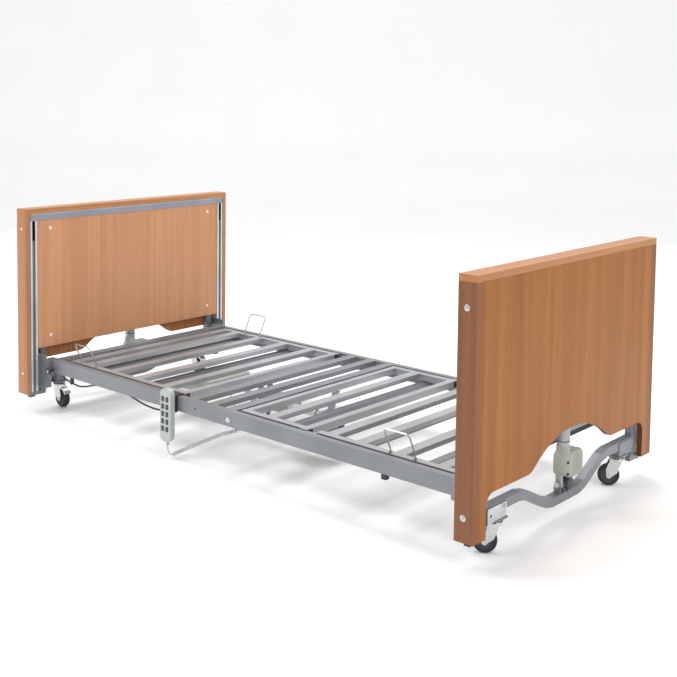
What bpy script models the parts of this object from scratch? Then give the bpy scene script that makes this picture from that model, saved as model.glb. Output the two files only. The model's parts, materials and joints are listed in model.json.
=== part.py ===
"""Adjustable hospital bed at its lowest height.

Frame: +X runs from the head end to the foot end, +Y from the handset side to the far side, +Z up.
The origin is on the floor under the middle of the bed. All sizes are in metres.

The wooden ends, their lift frames and the mattress platform rise together. The two bent base bars
stay on the floor on castors, with the guide posts and the lower halves of the lift motors.
"""

from math import atan2, cos, pi, radians, sin

import bmesh
import bpy
from mathutils import Matrix, Vector

# Overall
LENGTH = 2.18
WIDTH = 1.06
END_TOP = 0.816
END_BOTTOM = 0.079
END_DEPTH = 0.062
GAP = 0.0003  # between pieces that touch

# Wooden ends
BOARD = 0.018
CAP_HEIGHT = 0.020
INNER_BOARD = 0.012
INNER_BOTTOM = 0.258
INNER_TOP = 0.768
INNER_HALF_WIDTH = 0.4765
LEG_INNER_Y = 0.468
LOBE_Z = 0.204
LOBE_CORNER = 0.035
ARCH_TOP = 0.291
ARCH_RADIUS = 0.361
ARCH_FILLET = 0.050
COLUMN_GROOVE = 0.0225
GROOVE_TOP = 0.748
INNER_SETBACK = 0.002

# Lift frames
COLUMN_X = 1.0575
CHANNEL_Y = 0.494
CHANNEL_WIDTH = 0.030
CHANNEL_FRONT = 1.0285
CHANNEL_BACK = 1.0700
CHANNEL_WALL = 0.003
CHANNEL_SLOT = 0.014
CHANNEL_BOTTOM = 0.0865
TOP_BAR_BOTTOM = 0.7685
TOP_BAR_HEIGHT = 0.027
LIFT_ROD_BOTTOM = 0.300
LIFT_ROD_RADIUS = 0.0125

# Base frames
BASE_TUBE = 0.028
BASE_HIGH_Z = 0.1405
BASE_LOW_Z = 0.0685
BASE_HIGH_Y = 0.243
BASE_LOW_Y = 0.095
POST_Y = 0.443
POST = 0.025
POST_TOP = 0.690
FOOT_PLATE_BOTTOM = 0.066
FOOT_PLATE_TOP = 0.080
GUIDE_BAR = 0.019
GUIDE_BOTTOM = 0.064
APRON_FACE = 1.0705
APRON_THICKNESS = 0.0035
APRON_REACH = (-0.026, 0.070)
CLEVIS_CHEEKS = (-0.030, -0.010)
CLEVIS_PLATE = 0.003
CLEVIS_HEIGHT = 0.106
STEM_X = 1.052
STEM_Y = 0.366

# Lift motors
MOTOR_FRONT = 1.0385
MOTOR_BACK = 1.0765
MOTOR_LOW = (-0.004, 0.120)
MOTOR_HIGH = (0.0945, 0.203)
GEARBOX_RADIUS = 0.0285
GEARBOX_BOTTOM = 0.137
GEARBOX_TOP = 0.198
NECK_TOP = 0.224
COLUMN_RADIUS = 0.020
COLUMN_TOP = 0.715

# Castors
WHEEL_RADIUS = 0.036
TRAIL = 0.026
FORK_TOP = 0.094
CHEEK_OUTSIDE = 0.018
CHEEK_PLATE = 0.0025
AXLE_RADIUS = 0.0045
PEDAL_HINGE_Z = 0.078
PEDAL_HINGE_REACH = 0.030
HEADINGS = {"head": 0.0, "foot": atan2(-0.55, -0.83)}

# Platform
DECK_TOP = 0.218
RAIL_OUTER = 0.450
RAIL_WIDTH = 0.025
RAIL_BOTTOM = 0.166
RAIL_END = 1.005
SPLIT_X = 0.062
SECTION_SIDE = 0.400
SIDE_TUBE = 0.025
SLAT_WIDTH = 0.040
SLAT_HEIGHT = 0.016
LOW_TUBE_TOP = 0.1895
SEAT_SLATS = (-0.155, -0.058, 0.035)
BACKREST_SLATS = (-0.882, -0.805, -0.660, -0.510, -0.355)
BACKREST_ENDS = (-0.900, -0.222)
BACKREST_TUBE_X = -0.236
THIGH_ENDS = (0.066, 0.372)
CALF_SLATS = (0.458, 0.577, 0.730, 0.890)
CALF_ENDS = (0.412, 0.945)

# Section hinges
HINGE_Z = 0.2055
BACK_HINGE_X = -0.205
THIGH_HINGE_X = 0.080
KNEE_X = 0.395

# Deck actuators
BACK_LEVER = 0.130
BACK_LIFT = radians(70)
BACK_Y = -0.115
BACK_DRIVE_X = 0.235
KNEE_LEVER = 0.120
KNEE_LIFT = radians(35)
KNEE_Y = 0.060
KNEE_DRIVE_X = -0.290

CHEEK_GAP = 0.046
HOUSING_HALF = 0.0225
DRIVE_ROD = 0.0095
FORK_HALF = 0.013
FORK_SLOT = 0.0156

# Mattress retainers: the middle of each loop along the bed
RETAINER_WIRE = 0.0026
RETAINERS = {
    "backrest_retainer_near": (-0.795, -1),
    "backrest_retainer_far": (-0.716, 1),
    "calf_retainer_near": (0.751, -1),
    "calf_retainer_far": (0.751, 1),
}

# Control box
BOX_LOW = (-0.590, -0.115)
BOX_HIGH = (-0.415, 0.105)
BOX_BOTTOM = 0.112
BOX_TOP = 0.164
SOCKETS_Y = (-0.088, -0.058, -0.028, 0.002)
SOCKET_Z = 0.140

# Handset
HANDSET_X = -0.245
HANDSET_FACE_Y = -0.482
HANDSET_THICKNESS = 0.020
HANDSET_WIDTH = 0.056
HANDSET_BOTTOM = 0.057
HANDSET_TOP = 0.244
BUTTON_COLUMNS = {"a": -0.0135, "b": 0.0095}
BUTTON_ROWS = 5
BUTTON_PITCH = 0.0265
BUTTON_TOP_GAP = 0.036
BUTTON_SIZE = (0.0124, 0.0172)

COLOURS = {
    "beech": ((0.52, 0.28, 0.13), 0.45, 0.0),
    "grey_steel": ((0.33, 0.35, 0.36), 0.45, 0.3),
    "aluminium": ((0.62, 0.63, 0.64), 0.35, 0.9),
    "zinc": ((0.60, 0.64, 0.64), 0.30, 0.9),
    "grey_plastic": ((0.46, 0.46, 0.41), 0.55, 0.0),
    "handset_plastic": ((0.50, 0.56, 0.53), 0.50, 0.0),
    "black_plastic": ((0.03, 0.03, 0.03), 0.50, 0.0),
    "tyre_rubber": ((0.06, 0.06, 0.07), 0.70, 0.0),
    "wire_steel": ((0.45, 0.46, 0.47), 0.35, 0.8),
    "cord_grey": ((0.42, 0.43, 0.42), 0.60, 0.0),
    "cord_black": ((0.02, 0.02, 0.02), 0.55, 0.0),
}


# ---------------------------------------------------------------- scene and helpers


def clear_scene():
    for obj in list(bpy.data.objects):
        bpy.data.objects.remove(obj, do_unlink=True)


clear_scene()
PARTS = bpy.data.collections.new("adjustable_hospital_bed")
CUTTERS = bpy.data.collections.new("cutters")
for collection in (PARTS, CUTTERS):
    bpy.context.scene.collection.children.link(collection)
CUTTERS.hide_render = True


def make_material(name):
    colour, roughness, metallic = COLOURS[name]
    material = bpy.data.materials.new(name)
    material.use_nodes = True
    shader = material.node_tree.nodes["Principled BSDF"]
    shader.inputs["Base Color"].default_value = (*colour, 1.0)
    shader.inputs["Roughness"].default_value = roughness
    shader.inputs["Metallic"].default_value = metallic
    return material


MATERIALS = {name: make_material(name) for name in COLOURS}


def from_bmesh(shape):
    bmesh.ops.recalc_face_normals(shape, faces=shape.faces)
    mesh = bpy.data.meshes.new("shape")
    shape.to_mesh(mesh)
    shape.free()
    return bpy.data.objects.new("shape", mesh)


def box(low, high):
    """A box between two corners."""
    low, high = Vector(low), Vector(high)
    shape = bmesh.new()
    size = Matrix.Diagonal((*(high - low), 1.0))
    bmesh.ops.create_cube(shape, size=1.0, matrix=Matrix.Translation((low + high) / 2) @ size)
    return from_bmesh(shape)


def rod(start, end, radius, sides=16):
    """A cylinder between two points."""
    start, end = Vector(start), Vector(end)
    shape = bmesh.new()
    turn = (end - start).to_track_quat("Z", "Y").to_matrix().to_4x4()
    bmesh.ops.create_cone(
        shape,
        cap_ends=True,
        segments=sides,
        radius1=radius,
        radius2=radius,
        depth=(end - start).length,
        matrix=Matrix.Translation((start + end) / 2) @ turn,
    )
    return from_bmesh(shape)


AXES = {
    "x": Matrix(((0, 0, 1), (1, 0, 0), (0, 1, 0))),  # outline in Y, Z
    "y": Matrix(((1, 0, 0), (0, 0, 1), (0, 1, 0))),  # outline in X, Z
    "z": Matrix(((1, 0, 0), (0, 1, 0), (0, 0, 1))),  # outline in X, Y
}


def plate(outline, axis, low, high):
    """A flat outline extruded along an axis from low to high."""
    turn = AXES[axis]
    shape = bmesh.new()
    base = [shape.verts.new(turn @ Vector((u, v, low))) for u, v in outline]
    face = shape.faces.new(base)
    made = bmesh.ops.extrude_face_region(shape, geom=[face])["geom"]
    moved = [item for item in made if isinstance(item, bmesh.types.BMVert)]
    bmesh.ops.translate(shape, verts=moved, vec=turn @ Vector((0, 0, high - low)))
    return from_bmesh(shape)


def arc(centre, radius, start, end, steps):
    """Points of an arc, angles in degrees."""
    angles = [radians(start + (end - start) * i / steps) for i in range(steps + 1)]
    return [(centre[0] + radius * cos(a), centre[1] + radius * sin(a)) for a in angles]


def rounded(low, high, radius, steps=4):
    """A rectangle with round corners."""
    (x0, y0), (x1, y1) = low, high
    corners = ((x1 - radius, y1 - radius, 0), (x0 + radius, y1 - radius, 90))
    corners += ((x0 + radius, y0 + radius, 180), (x1 - radius, y0 + radius, 270))
    return [p for x, y, a in corners for p in arc((x, y), radius, a, a + 90, steps)]


def evaluated_mesh(obj):
    bpy.context.view_layer.update()
    graph = bpy.context.evaluated_depsgraph_get()
    mesh = bpy.data.meshes.new_from_object(obj.evaluated_get(graph))
    shape = bmesh.new()
    shape.from_mesh(mesh)
    bmesh.ops.remove_doubles(shape, verts=shape.verts, dist=1e-6)
    shape.to_mesh(mesh)
    shape.free()
    return mesh


def combine(base, others, operation):
    """Joins others to base, or cuts them from it, and leaves one plain mesh object."""
    PARTS.objects.link(base)
    for other in others:
        other.hide_render = True
        other.display_type = "WIRE"
        CUTTERS.objects.link(other)
        step = base.modifiers.new(operation.lower(), "BOOLEAN")
        step.operation = operation
        step.solver = "EXACT"
        step.object = other
    mesh = evaluated_mesh(base)
    PARTS.objects.unlink(base)
    for other in [base, *others]:
        bpy.data.objects.remove(other, do_unlink=True)
    return bpy.data.objects.new("shape", mesh)


def weld(*pieces):
    return combine(pieces[0], pieces[1:], "UNION")


def cut(piece, *cutters):
    return combine(piece, cutters, "DIFFERENCE")


def placed(shape, name, material, pivot=(0, 0, 0)):
    """Names a shape, gives it its material and puts its origin on its pivot."""
    shape.name = shape.data.name = name
    shape.data.transform(Matrix.Translation(-Vector(pivot)))
    shape.location = pivot
    shape.data.materials.clear()
    shape.data.materials.append(MATERIALS[material])
    shape.data.shade_smooth()
    shape.data.set_sharp_from_angle(angle=radians(35))
    PARTS.objects.link(shape)
    return shape


def wire(points, radius, resolution=2):
    """A tube along points, as a closed mesh."""
    curve = bpy.data.curves.new("wire", "CURVE")
    curve.dimensions = "3D"
    curve.bevel_depth = radius
    curve.bevel_resolution = resolution
    curve.use_fill_caps = True
    spline = curve.splines.new("POLY")
    spline.points.add(len(points) - 1)
    for point, place in zip(spline.points, points):
        point.co = (*place, 1.0)
    obj = bpy.data.objects.new("wire", curve)
    PARTS.objects.link(obj)
    mesh = evaluated_mesh(obj)
    bpy.data.objects.remove(obj, do_unlink=True)
    return bpy.data.objects.new("shape", mesh)


def smooth_path(points, steps):
    """A Catmull-Rom curve through the points, with steps stretches between each two."""
    points = [Vector(p) for p in points]
    ends = [2 * points[0] - points[1], *points, 2 * points[-1] - points[-2]]
    path = []
    for a, b, c, d in zip(ends, ends[1:], ends[2:], ends[3:]):
        for i in range(steps):
            t = i / steps
            square = (2 * a - 5 * b + 4 * c - d) * t**2
            cube = (3 * b - a - 3 * c + d) * t**3
            path.append(0.5 * (2 * b + (c - a) * t + square + cube))
    return [*path, points[-1]]


def square_tube(points, size):
    """A square bar along points in the plane X = constant, with mitred bends."""
    half = size / 2
    points = [Vector(p) for p in points]
    shape = bmesh.new()
    rings = []
    for i, point in enumerate(points):
        before = (point - points[i - 1]).normalized() if i else (points[1] - point).normalized()
        after = (points[i + 1] - point).normalized() if i + 1 < len(points) else before
        along = (before + after).normalized()
        up = Vector((1, 0, 0)).cross(along).normalized()
        reach = half / max(along.dot(before), 0.5)
        corners = ((-half, -reach), (half, -reach), (half, reach), (-half, reach))
        rings.append([shape.verts.new(point + Vector((u, 0, 0)) + up * v) for u, v in corners])
    for ring, following in zip(rings, rings[1:]):
        for k in range(4):
            shape.faces.new((ring[k], ring[(k + 1) % 4], following[(k + 1) % 4], following[k]))
    shape.faces.new(rings[0])
    shape.faces.new(rings[-1])
    return from_bmesh(shape)


# ---------------------------------------------------------------- wooden ends and lift frames


def cut_out_half():
    """Half of the outer panel's lower edge, from its middle to the inside of its leg."""
    arch_centre = ARCH_TOP - ARCH_RADIUS
    fillet_z = LOBE_Z + ARCH_FILLET
    fillet_y = ((ARCH_RADIUS + ARCH_FILLET) ** 2 - (fillet_z - arch_centre) ** 2) ** 0.5
    meet = atan2(fillet_z - arch_centre, fillet_y) * 180 / pi
    points = arc((0, arch_centre), ARCH_RADIUS, 90, meet, 6)
    points += arc((fillet_y, fillet_z), ARCH_FILLET, 180 + meet, 270, 4)[1:]
    corner = (LEG_INNER_Y - LOBE_CORNER, LOBE_Z - LOBE_CORNER)
    points += arc(corner, LOBE_CORNER, 90, 0, 5)
    return [*points, (LEG_INNER_Y, END_BOTTOM)]


def across(x0, x1, side):
    """Two X values of an end, in rising order. side is 1 at the foot and -1 at the head."""
    return sorted((side * x0, side * x1))


def column_groove(side):
    """The room that the panels leave for the lift column."""
    return rod((side * COLUMN_X, 0, LOBE_Z), (side * COLUMN_X, 0, GROOVE_TOP), COLUMN_GROOVE, 24)


def end_panels(end, side):
    half = WIDTH / 2
    outer, inner = LENGTH / 2, LENGTH / 2 - END_DEPTH
    x0, x1 = across(inner, outer, side)
    under_cap = END_TOP - CAP_HEIGHT - GAP
    cap = box((x0, -half, END_TOP - CAP_HEIGHT), (x1, half, END_TOP))
    placed(cap, f"{end}_top_cap", "beech")
    for name, y0, y1 in (("near", -half, BOARD - half), ("far", half - BOARD, half)):
        board = box((x0, y0, END_BOTTOM), (x1, y1, under_cap))
        placed(board, f"{end}_side_board_{name}", "beech")

    x0, x1 = across(outer - BOARD, outer, side)
    inside = half - BOARD - GAP
    lower = cut_out_half()
    outline = [(inside, END_BOTTOM), (inside, under_cap), (-inside, under_cap), (-inside, END_BOTTOM)]
    outline += [(-y, z) for y, z in reversed(lower)] + lower[1:]
    placed(cut(plate(outline, "x", x0, x1), column_groove(side)), f"{end}_outer_panel", "beech")

    x0, x1 = across(inner + INNER_SETBACK, inner + INNER_SETBACK + INNER_BOARD, side)
    panel = box((x0, -INNER_HALF_WIDTH, INNER_BOTTOM), (x1, INNER_HALF_WIDTH, INNER_TOP))
    placed(cut(panel, column_groove(side)), f"{end}_inner_panel", "beech")


def lift_frame(end, side):
    """The top bar with the lift rod hanging from it, and the two slotted channels."""
    x0, x1 = across(CHANNEL_FRONT, CHANNEL_BACK, side)
    reach = CHANNEL_Y + CHANNEL_WIDTH / 2
    bar = box((x0, -reach, TOP_BAR_BOTTOM), (x1, reach, TOP_BAR_BOTTOM + TOP_BAR_HEIGHT))
    rod_top = (side * COLUMN_X, 0, TOP_BAR_BOTTOM + TOP_BAR_HEIGHT / 2)
    lift_rod = rod(rod_top, (side * COLUMN_X, 0, LIFT_ROD_BOTTOM), LIFT_ROD_RADIUS)
    placed(weld(bar, lift_rod), f"{end}_top_bar", "grey_steel")
    for name, way in (("near", -1), ("far", 1)):
        y0, y1 = way * CHANNEL_Y - CHANNEL_WIDTH / 2, way * CHANNEL_Y + CHANNEL_WIDTH / 2
        channel = box((x0, y0, CHANNEL_BOTTOM), (x1, y1, TOP_BAR_BOTTOM - GAP))
        wall = CHANNEL_WALL
        bore = box((x0 + wall, y0 + wall, 0), (x1 - wall, y1 - wall, END_TOP))
        front = across(CHANNEL_FRONT - 2 * wall, CHANNEL_FRONT + 2 * wall, side)
        slot_y = (way * CHANNEL_Y - CHANNEL_SLOT / 2, way * CHANNEL_Y + CHANNEL_SLOT / 2)
        slot = box((front[0], slot_y[0], 0), (front[1], slot_y[1], END_TOP))
        placed(cut(channel, bore, slot), f"{end}_guide_channel_{name}", "aluminium")


# ---------------------------------------------------------------- base frames, lift motors, castors


def base_corner(side, way):
    """One end of a base bar: the post, the guide bar beside it and the castor's seat."""
    x = side * COLUMN_X
    half = POST / 2
    inner, outer = POST_Y - half + GAP, CHANNEL_Y + GUIDE_BAR / 2 - GAP
    post = box((x - half, way * POST_Y - half, CHANNEL_BOTTOM), (x + half, way * POST_Y + half, POST_TOP))
    guide_x = across(COLUMN_X - 0.010, COLUMN_X + 0.004, side)
    guide_y = (way * CHANNEL_Y - GUIDE_BAR / 2, way * CHANNEL_Y + GUIDE_BAR / 2)
    guide = box((guide_x[0], guide_y[0], GUIDE_BOTTOM), (guide_x[1], guide_y[1], POST_TOP))
    foot_y = sorted((way * inner, way * outer))
    foot = box((x - 0.0095, foot_y[0], FOOT_PLATE_BOTTOM), (x + 0.0095, foot_y[1], FOOT_PLATE_TOP))
    web_y = sorted((way * inner, way * (POST_Y + half - 0.001)))
    web = box((x - 0.009, web_y[0], FOOT_PLATE_BOTTOM + 0.006), (x + 0.009, web_y[1], CHANNEL_BOTTOM + 0.014))

    stem_x, stem_y = side * STEM_X, way * STEM_Y
    seat_bottom = FORK_TOP + 0.0065
    seat_low = (stem_x - 0.026, stem_y - 0.030, seat_bottom)
    seat = box(seat_low, (stem_x + 0.026, stem_y + 0.030, seat_bottom + 0.0045))
    flange = across(APRON_FACE, APRON_FACE + APRON_THICKNESS, side)
    apron_y = sorted(stem_y + way * reach for reach in APRON_REACH)
    apron = box((flange[0], apron_y[0], seat_bottom + 0.0035), (flange[1], apron_y[1], 0.150))
    block_low = (stem_x - 0.016, stem_y - 0.022, seat_bottom + 0.003)
    block = box(block_low, (stem_x + 0.016, stem_y + 0.022, BASE_HIGH_Z))
    return [post, guide, foot, web, seat, apron, block]


def base_frame(end, side):
    """The bent bar, its two posts and the guide bars that stand in the channels."""
    x = side * COLUMN_X
    ease = 0.008
    bends = [(x, -POST_Y - 0.02, BASE_HIGH_Z), (x, -BASE_HIGH_Y - 0.02, BASE_HIGH_Z)]
    bends += [(x, -BASE_HIGH_Y + 0.018, BASE_HIGH_Z - ease), (x, -BASE_LOW_Y - 0.018, BASE_LOW_Z + ease)]
    bends += [(x, -BASE_LOW_Y + 0.02, BASE_LOW_Z)]
    bends += [(x, -y, z) for x, y, z in reversed(bends)]
    pieces = [square_tube(bends, BASE_TUBE)]
    for way in (-1, 1):
        pieces += base_corner(side, way)
    for cheek in CLEVIS_CHEEKS:
        ear = [(x - 0.012, 0.075), (x + 0.012, 0.075), *arc((x, CLEVIS_HEIGHT), 0.012, 0, 180, 6)]
        pieces.append(plate(ear, "y", cheek, cheek + CLEVIS_PLATE))
    placed(weld(*pieces), f"{end}_base_frame", "grey_steel")


def lift_motor(end, side):
    """The round gearbox under the lift column, the motor beside it and the column's outer tube."""
    x0, x1 = across(MOTOR_FRONT, MOTOR_BACK, side)
    motor = plate(rounded(MOTOR_LOW, MOTOR_HIGH, 0.022, 4), "x", x0, x1)
    x = side * COLUMN_X
    gearbox = rod((x, 0, GEARBOX_BOTTOM), (x, 0, GEARBOX_TOP), GEARBOX_RADIUS, 32)
    neck = rod((x, 0, GEARBOX_TOP - 0.004), (x, 0, NECK_TOP), COLUMN_RADIUS + 0.0015, 24)
    tube = rod((x, 0, NECK_TOP - 0.006), (x, 0, COLUMN_TOP), COLUMN_RADIUS, 24)
    tongue_y = CLEVIS_CHEEKS[0] + CLEVIS_PLATE + 0.0005, CLEVIS_CHEEKS[1] - 0.0005
    tongue_low = (x - 0.010, tongue_y[0], CLEVIS_HEIGHT - 0.008)
    tongue = box(tongue_low, (x + 0.010, tongue_y[1], GEARBOX_BOTTOM + 0.006))
    drum_z = CLEVIS_HEIGHT - 0.0005
    drum = rod((x - 0.022, 0.014, drum_z), (x + 0.022, 0.014, drum_z), 0.019, 20)
    solid = weld(motor, gearbox, neck, tube, tongue, drum)
    bore = rod((x, 0, LIFT_ROD_BOTTOM - 0.020), (x, 0, END_TOP), LIFT_ROD_RADIUS + 0.001, 20)
    placed(cut(solid, bore), f"{end}_lift_motor", "grey_plastic")


def castor_fork(stem, axle, aside, turn):
    """The swivel head, two cheeks and the axle."""
    crown = rod(stem + Vector((0, 0, FORK_TOP - 0.009)), stem + Vector((0, 0, FORK_TOP)), 0.023, 20)
    race = rod(stem + Vector((0, 0, FORK_TOP - 0.0055)), stem + Vector((0, 0, FORK_TOP + 0.0060)), 0.015)
    pieces = [crown, race]
    for cheek in (-CHEEK_OUTSIDE, CHEEK_OUTSIDE - CHEEK_PLATE):
        leg_top = FORK_TOP - 0.0055
        leg = [(-0.016, leg_top), (0.0, 0.045), *arc((TRAIL, WHEEL_RADIUS), 0.009, 200, 340, 5)]
        leg += [(0.036, 0.058), (0.022, leg_top)]
        side_plate = plate(leg, "y", cheek, cheek + CHEEK_PLATE)
        side_plate.data.transform(turn)
        pieces.append(side_plate)
    pin = aside * (CHEEK_OUTSIDE + 0.0015)
    return weld(*pieces, rod(axle - pin, axle + pin, AXLE_RADIUS, 12))


def castor_wheel(axle, ahead, aside):
    """A turned ring: hub, web and tyre, from its half profile of radius and offset."""
    half = [(0.0058, -0.0145), (0.0120, -0.0145), (0.0125, -0.0085), (0.0255, -0.0085)]
    half += [(0.0265, -0.0120), (0.0330, -0.0115), (0.0355, -0.0065)]
    profile = [*half, (WHEEL_RADIUS, 0.0), *[(radius, -offset) for radius, offset in reversed(half)]]
    shape = bmesh.new()
    steps = 28
    rings = []
    for i in range(steps):
        angle = 2 * pi * i / steps
        spoke = ahead * cos(angle) + Vector((0, 0, 1)) * sin(angle)
        rings.append([shape.verts.new(axle + spoke * r + aside * w) for r, w in profile])
    for i, ring in enumerate(rings):
        following = rings[(i + 1) % steps]
        for k in range(len(profile)):
            j = (k + 1) % len(profile)
            shape.faces.new((ring[k], ring[j], following[j], following[k]))
    return from_bmesh(shape)


def brake_pedal(turn):
    """The rocking lever over the wheel, in side view."""
    z = PEDAL_HINGE_Z
    lever = [(0.027, z - 0.0035), (0.040, z - 0.0040), (0.050, z - 0.0100), (0.0575, z - 0.0215)]
    lever += [(0.0605, z - 0.0205), (0.057, z - 0.0065), (0.046, z + 0.0012), (0.028, z + 0.0035)]
    pedal = plate(lever, "y", -0.014, 0.014)
    pedal.data.transform(turn)
    return pedal


def castor(name, side, way, heading, braked):
    stem = Vector((side * STEM_X, way * STEM_Y, 0))
    ahead = Vector((cos(heading), sin(heading), 0))
    aside = Vector((-sin(heading), cos(heading), 0))
    axle = stem + ahead * TRAIL + Vector((0, 0, WHEEL_RADIUS))
    turn = Matrix.Translation(stem) @ Matrix.Rotation(heading, 4, "Z")
    placed(castor_fork(stem, axle, aside, turn), f"{name}_castor_fork", "zinc", stem)
    placed(castor_wheel(axle, ahead, aside), f"{name}_castor_wheel", "tyre_rubber", axle)
    if braked:
        pivot = stem + ahead * PEDAL_HINGE_REACH + Vector((0, 0, PEDAL_HINGE_Z))
        placed(brake_pedal(turn), f"{name}_brake_pedal", "zinc", pivot)


# ---------------------------------------------------------------- mattress platform


def rail(x0, x1, way):
    y0, y1 = sorted((way * (RAIL_OUTER - RAIL_WIDTH), way * RAIL_OUTER))
    return box((x0, y0, RAIL_BOTTOM), (x1, y1, DECK_TOP))


def slat(x, reach, top=DECK_TOP, height=SLAT_HEIGHT, width=SLAT_WIDTH):
    return box((x - width / 2, -reach, top - height), (x + width / 2, reach, top))


def corner_bracket(side, way):
    """The plate that hooks a rail to its guide channel."""
    x0, x1 = across(0.980, 1.050, side)
    y0, y1 = sorted((way * 0.4705, way * 0.4785))
    z0, z1 = (0.104, 0.236) if side < 0 else (RAIL_BOTTOM, 0.2175)
    hook = box((x0, y0, z0), (x1, y1, z1))
    x0, x1 = across(0.981, 1.004, side)
    y0, y1 = sorted((way * 0.4485, way * 0.4710))
    return [hook, box((x0, y0, z0 + 0.002), (x1, y1, 0.217))]


def low_tube(x, reach):
    """A cross tube under the moving sections."""
    return slat(x, reach, top=LOW_TUBE_TOP, height=0.020, width=0.030)


def drive_cheeks(x, y, bottom):
    """Two plates under a low tube that hold an actuator between them."""
    top = LOW_TUBE_TOP - 0.002
    return [
        box((x - 0.014, y + side, bottom), (x + 0.014, y + side + 0.003, top))
        for side in (-CHEEK_GAP / 2 - 0.003, CHEEK_GAP / 2)
    ]


def platform_halves():
    """The two halves of the fixed frame. The seat's slats belong to the head half."""
    inside = RAIL_OUTER - RAIL_WIDTH + 0.002
    head = [rail(-RAIL_END, SPLIT_X, way) for way in (-1, 1)]
    head.append(slat(-0.955, inside, height=0.040))
    head += [slat(x, inside) for x in SEAT_SLATS]
    head += [low_tube(x, inside) for x in (-0.810, -0.500, KNEE_DRIVE_X)]
    head += corner_bracket(-1, -1) + corner_bracket(-1, 1)
    head += drive_cheeks(KNEE_DRIVE_X, KNEE_Y, 0.085)
    placed(weld(*head), "platform_head_half", "grey_steel")

    foot = [rail(SPLIT_X + GAP, RAIL_END, way) for way in (-1, 1)]
    foot.append(slat(0.977, inside, width=0.036))
    foot += [low_tube(x, inside) for x in (BACK_DRIVE_X, 0.530, 0.800)]
    foot += corner_bracket(1, -1) + corner_bracket(1, 1)
    foot += drive_cheeks(BACK_DRIVE_X, BACK_Y, 0.075)
    placed(weld(*foot), "platform_foot_half", "grey_steel")


def section(x0, x1, slats, ends=()):
    """A rectangular frame of the deck. ends lists the X of cross tubes that reach past the side tubes."""
    half = SIDE_TUBE / 2
    pieces = []
    for way in (-1, 1):
        y = way * SECTION_SIDE
        pieces.append(box((x0, y - half, DECK_TOP - SIDE_TUBE), (x1, y + half, DECK_TOP)))
    pieces += [slat(x, SECTION_SIDE) for x in slats]
    reach = SECTION_SIDE + half + 0.004
    pieces += [slat(x, reach, height=SIDE_TUBE - 0.001, width=0.028) for x in ends]
    return pieces


def lever_arm(hinge_x, angle, length, y, tube_x):
    """A plate from a section's hinge tube down to the point where its actuator pushes."""
    px, pz = hinge_x + length * sin(angle), HINGE_Z - length * cos(angle)
    normal = Vector((cos(angle), 0, sin(angle))) * 0.013
    top = Vector((tube_x, 0, DECK_TOP - 0.020))
    tip = Vector((px, 0, pz))
    outline = [top - normal, top + normal]
    start = atan2(normal.z, normal.x) * 180 / pi
    outline += [Vector((u, 0, v)) for u, v in arc((px, pz), 0.013, start, start - 180, 6)]
    arm = plate([(p.x, p.z) for p in outline], "y", y - 0.004, y + 0.004)
    pin = rod((tip.x, y - 0.0155, tip.z), (tip.x, y + 0.0155, tip.z), 0.005, 12)
    return [arm, pin]


def moving_sections():
    back = section(*BACKREST_ENDS, BACKREST_SLATS, (BACKREST_TUBE_X,))
    back += lever_arm(BACK_HINGE_X, BACK_LIFT / 2, BACK_LEVER, BACK_Y, BACKREST_TUBE_X)
    placed(weld(*back), "backrest_section", "grey_steel", (BACK_HINGE_X, 0, HINGE_Z))

    thigh = section(*THIGH_ENDS, (0.190,), (0.358,))
    thigh.append(slat(THIGH_HINGE_X, SECTION_SIDE, height=0.022, width=0.024))
    thigh += lever_arm(THIGH_HINGE_X, -KNEE_LIFT / 2, KNEE_LEVER, KNEE_Y, THIGH_HINGE_X)
    placed(weld(*thigh), "thigh_section", "grey_steel", (THIGH_HINGE_X, 0, HINGE_Z))

    calf = section(*CALF_ENDS, CALF_SLATS)
    placed(weld(*calf), "calf_section", "grey_steel", (KNEE_X, 0, HINGE_Z))


def retainer(name, x, way):
    """A wire loop that keeps the mattress in place. It stands on a side tube and leans outwards."""
    half, top, lean = 0.047, 0.082, way * 0.034
    y = way * (SECTION_SIDE + 0.004)
    base_z = DECK_TOP + GAP + 0.0001
    rise = [(x - half, y + lean * 0.85, base_z + top - 0.010), (x - half + 0.008, y + lean, base_z + top)]
    left = [(x - half, y, base_z), (x - half, y, base_z + 0.012), *rise]
    right = [(2 * x - px, py, pz) for px, py, pz in reversed(left)]
    placed(wire([*left, *right], RETAINER_WIRE, resolution=1), name, "wire_steel")


# ---------------------------------------------------------------- drives, handset and cords


def deck_actuator(name, lever_x, y, z, far_x, reach, motor_gap):
    """A linear drive between a low tube at far_x and a lever pin at lever_x.

    reach is how far the housing comes from far_x towards the pin. The motor lies beside it.
    """
    way = 1 if far_x > lever_x else -1
    x0, x1 = sorted((far_x - way * reach, far_x + way * 0.020))
    outline = rounded((x0, z - 0.030), (x1, z + 0.034), 0.010, 3)
    housing = plate(outline, "y", y - HOUSING_HALF, y + HOUSING_HALF)
    motor_y, motor_z = y - way * 0.040, z + 0.002
    motor_ends = (far_x - way * (reach + 0.005), far_x - way * motor_gap)
    motor = rod((motor_ends[0], motor_y, motor_z), (motor_ends[1], motor_y, motor_z), 0.026, 20)
    tube = rod((lever_x + way * 0.060, y, z), (far_x - way * (reach - 0.010), y, z), 0.0155)
    bore = rod((lever_x + way * 0.020, y, z), (far_x - way * 0.010, y, z), DRIVE_ROD + 0.001)
    placed(cut(weld(housing, motor, tube), bore), name, "grey_plastic")


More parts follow.
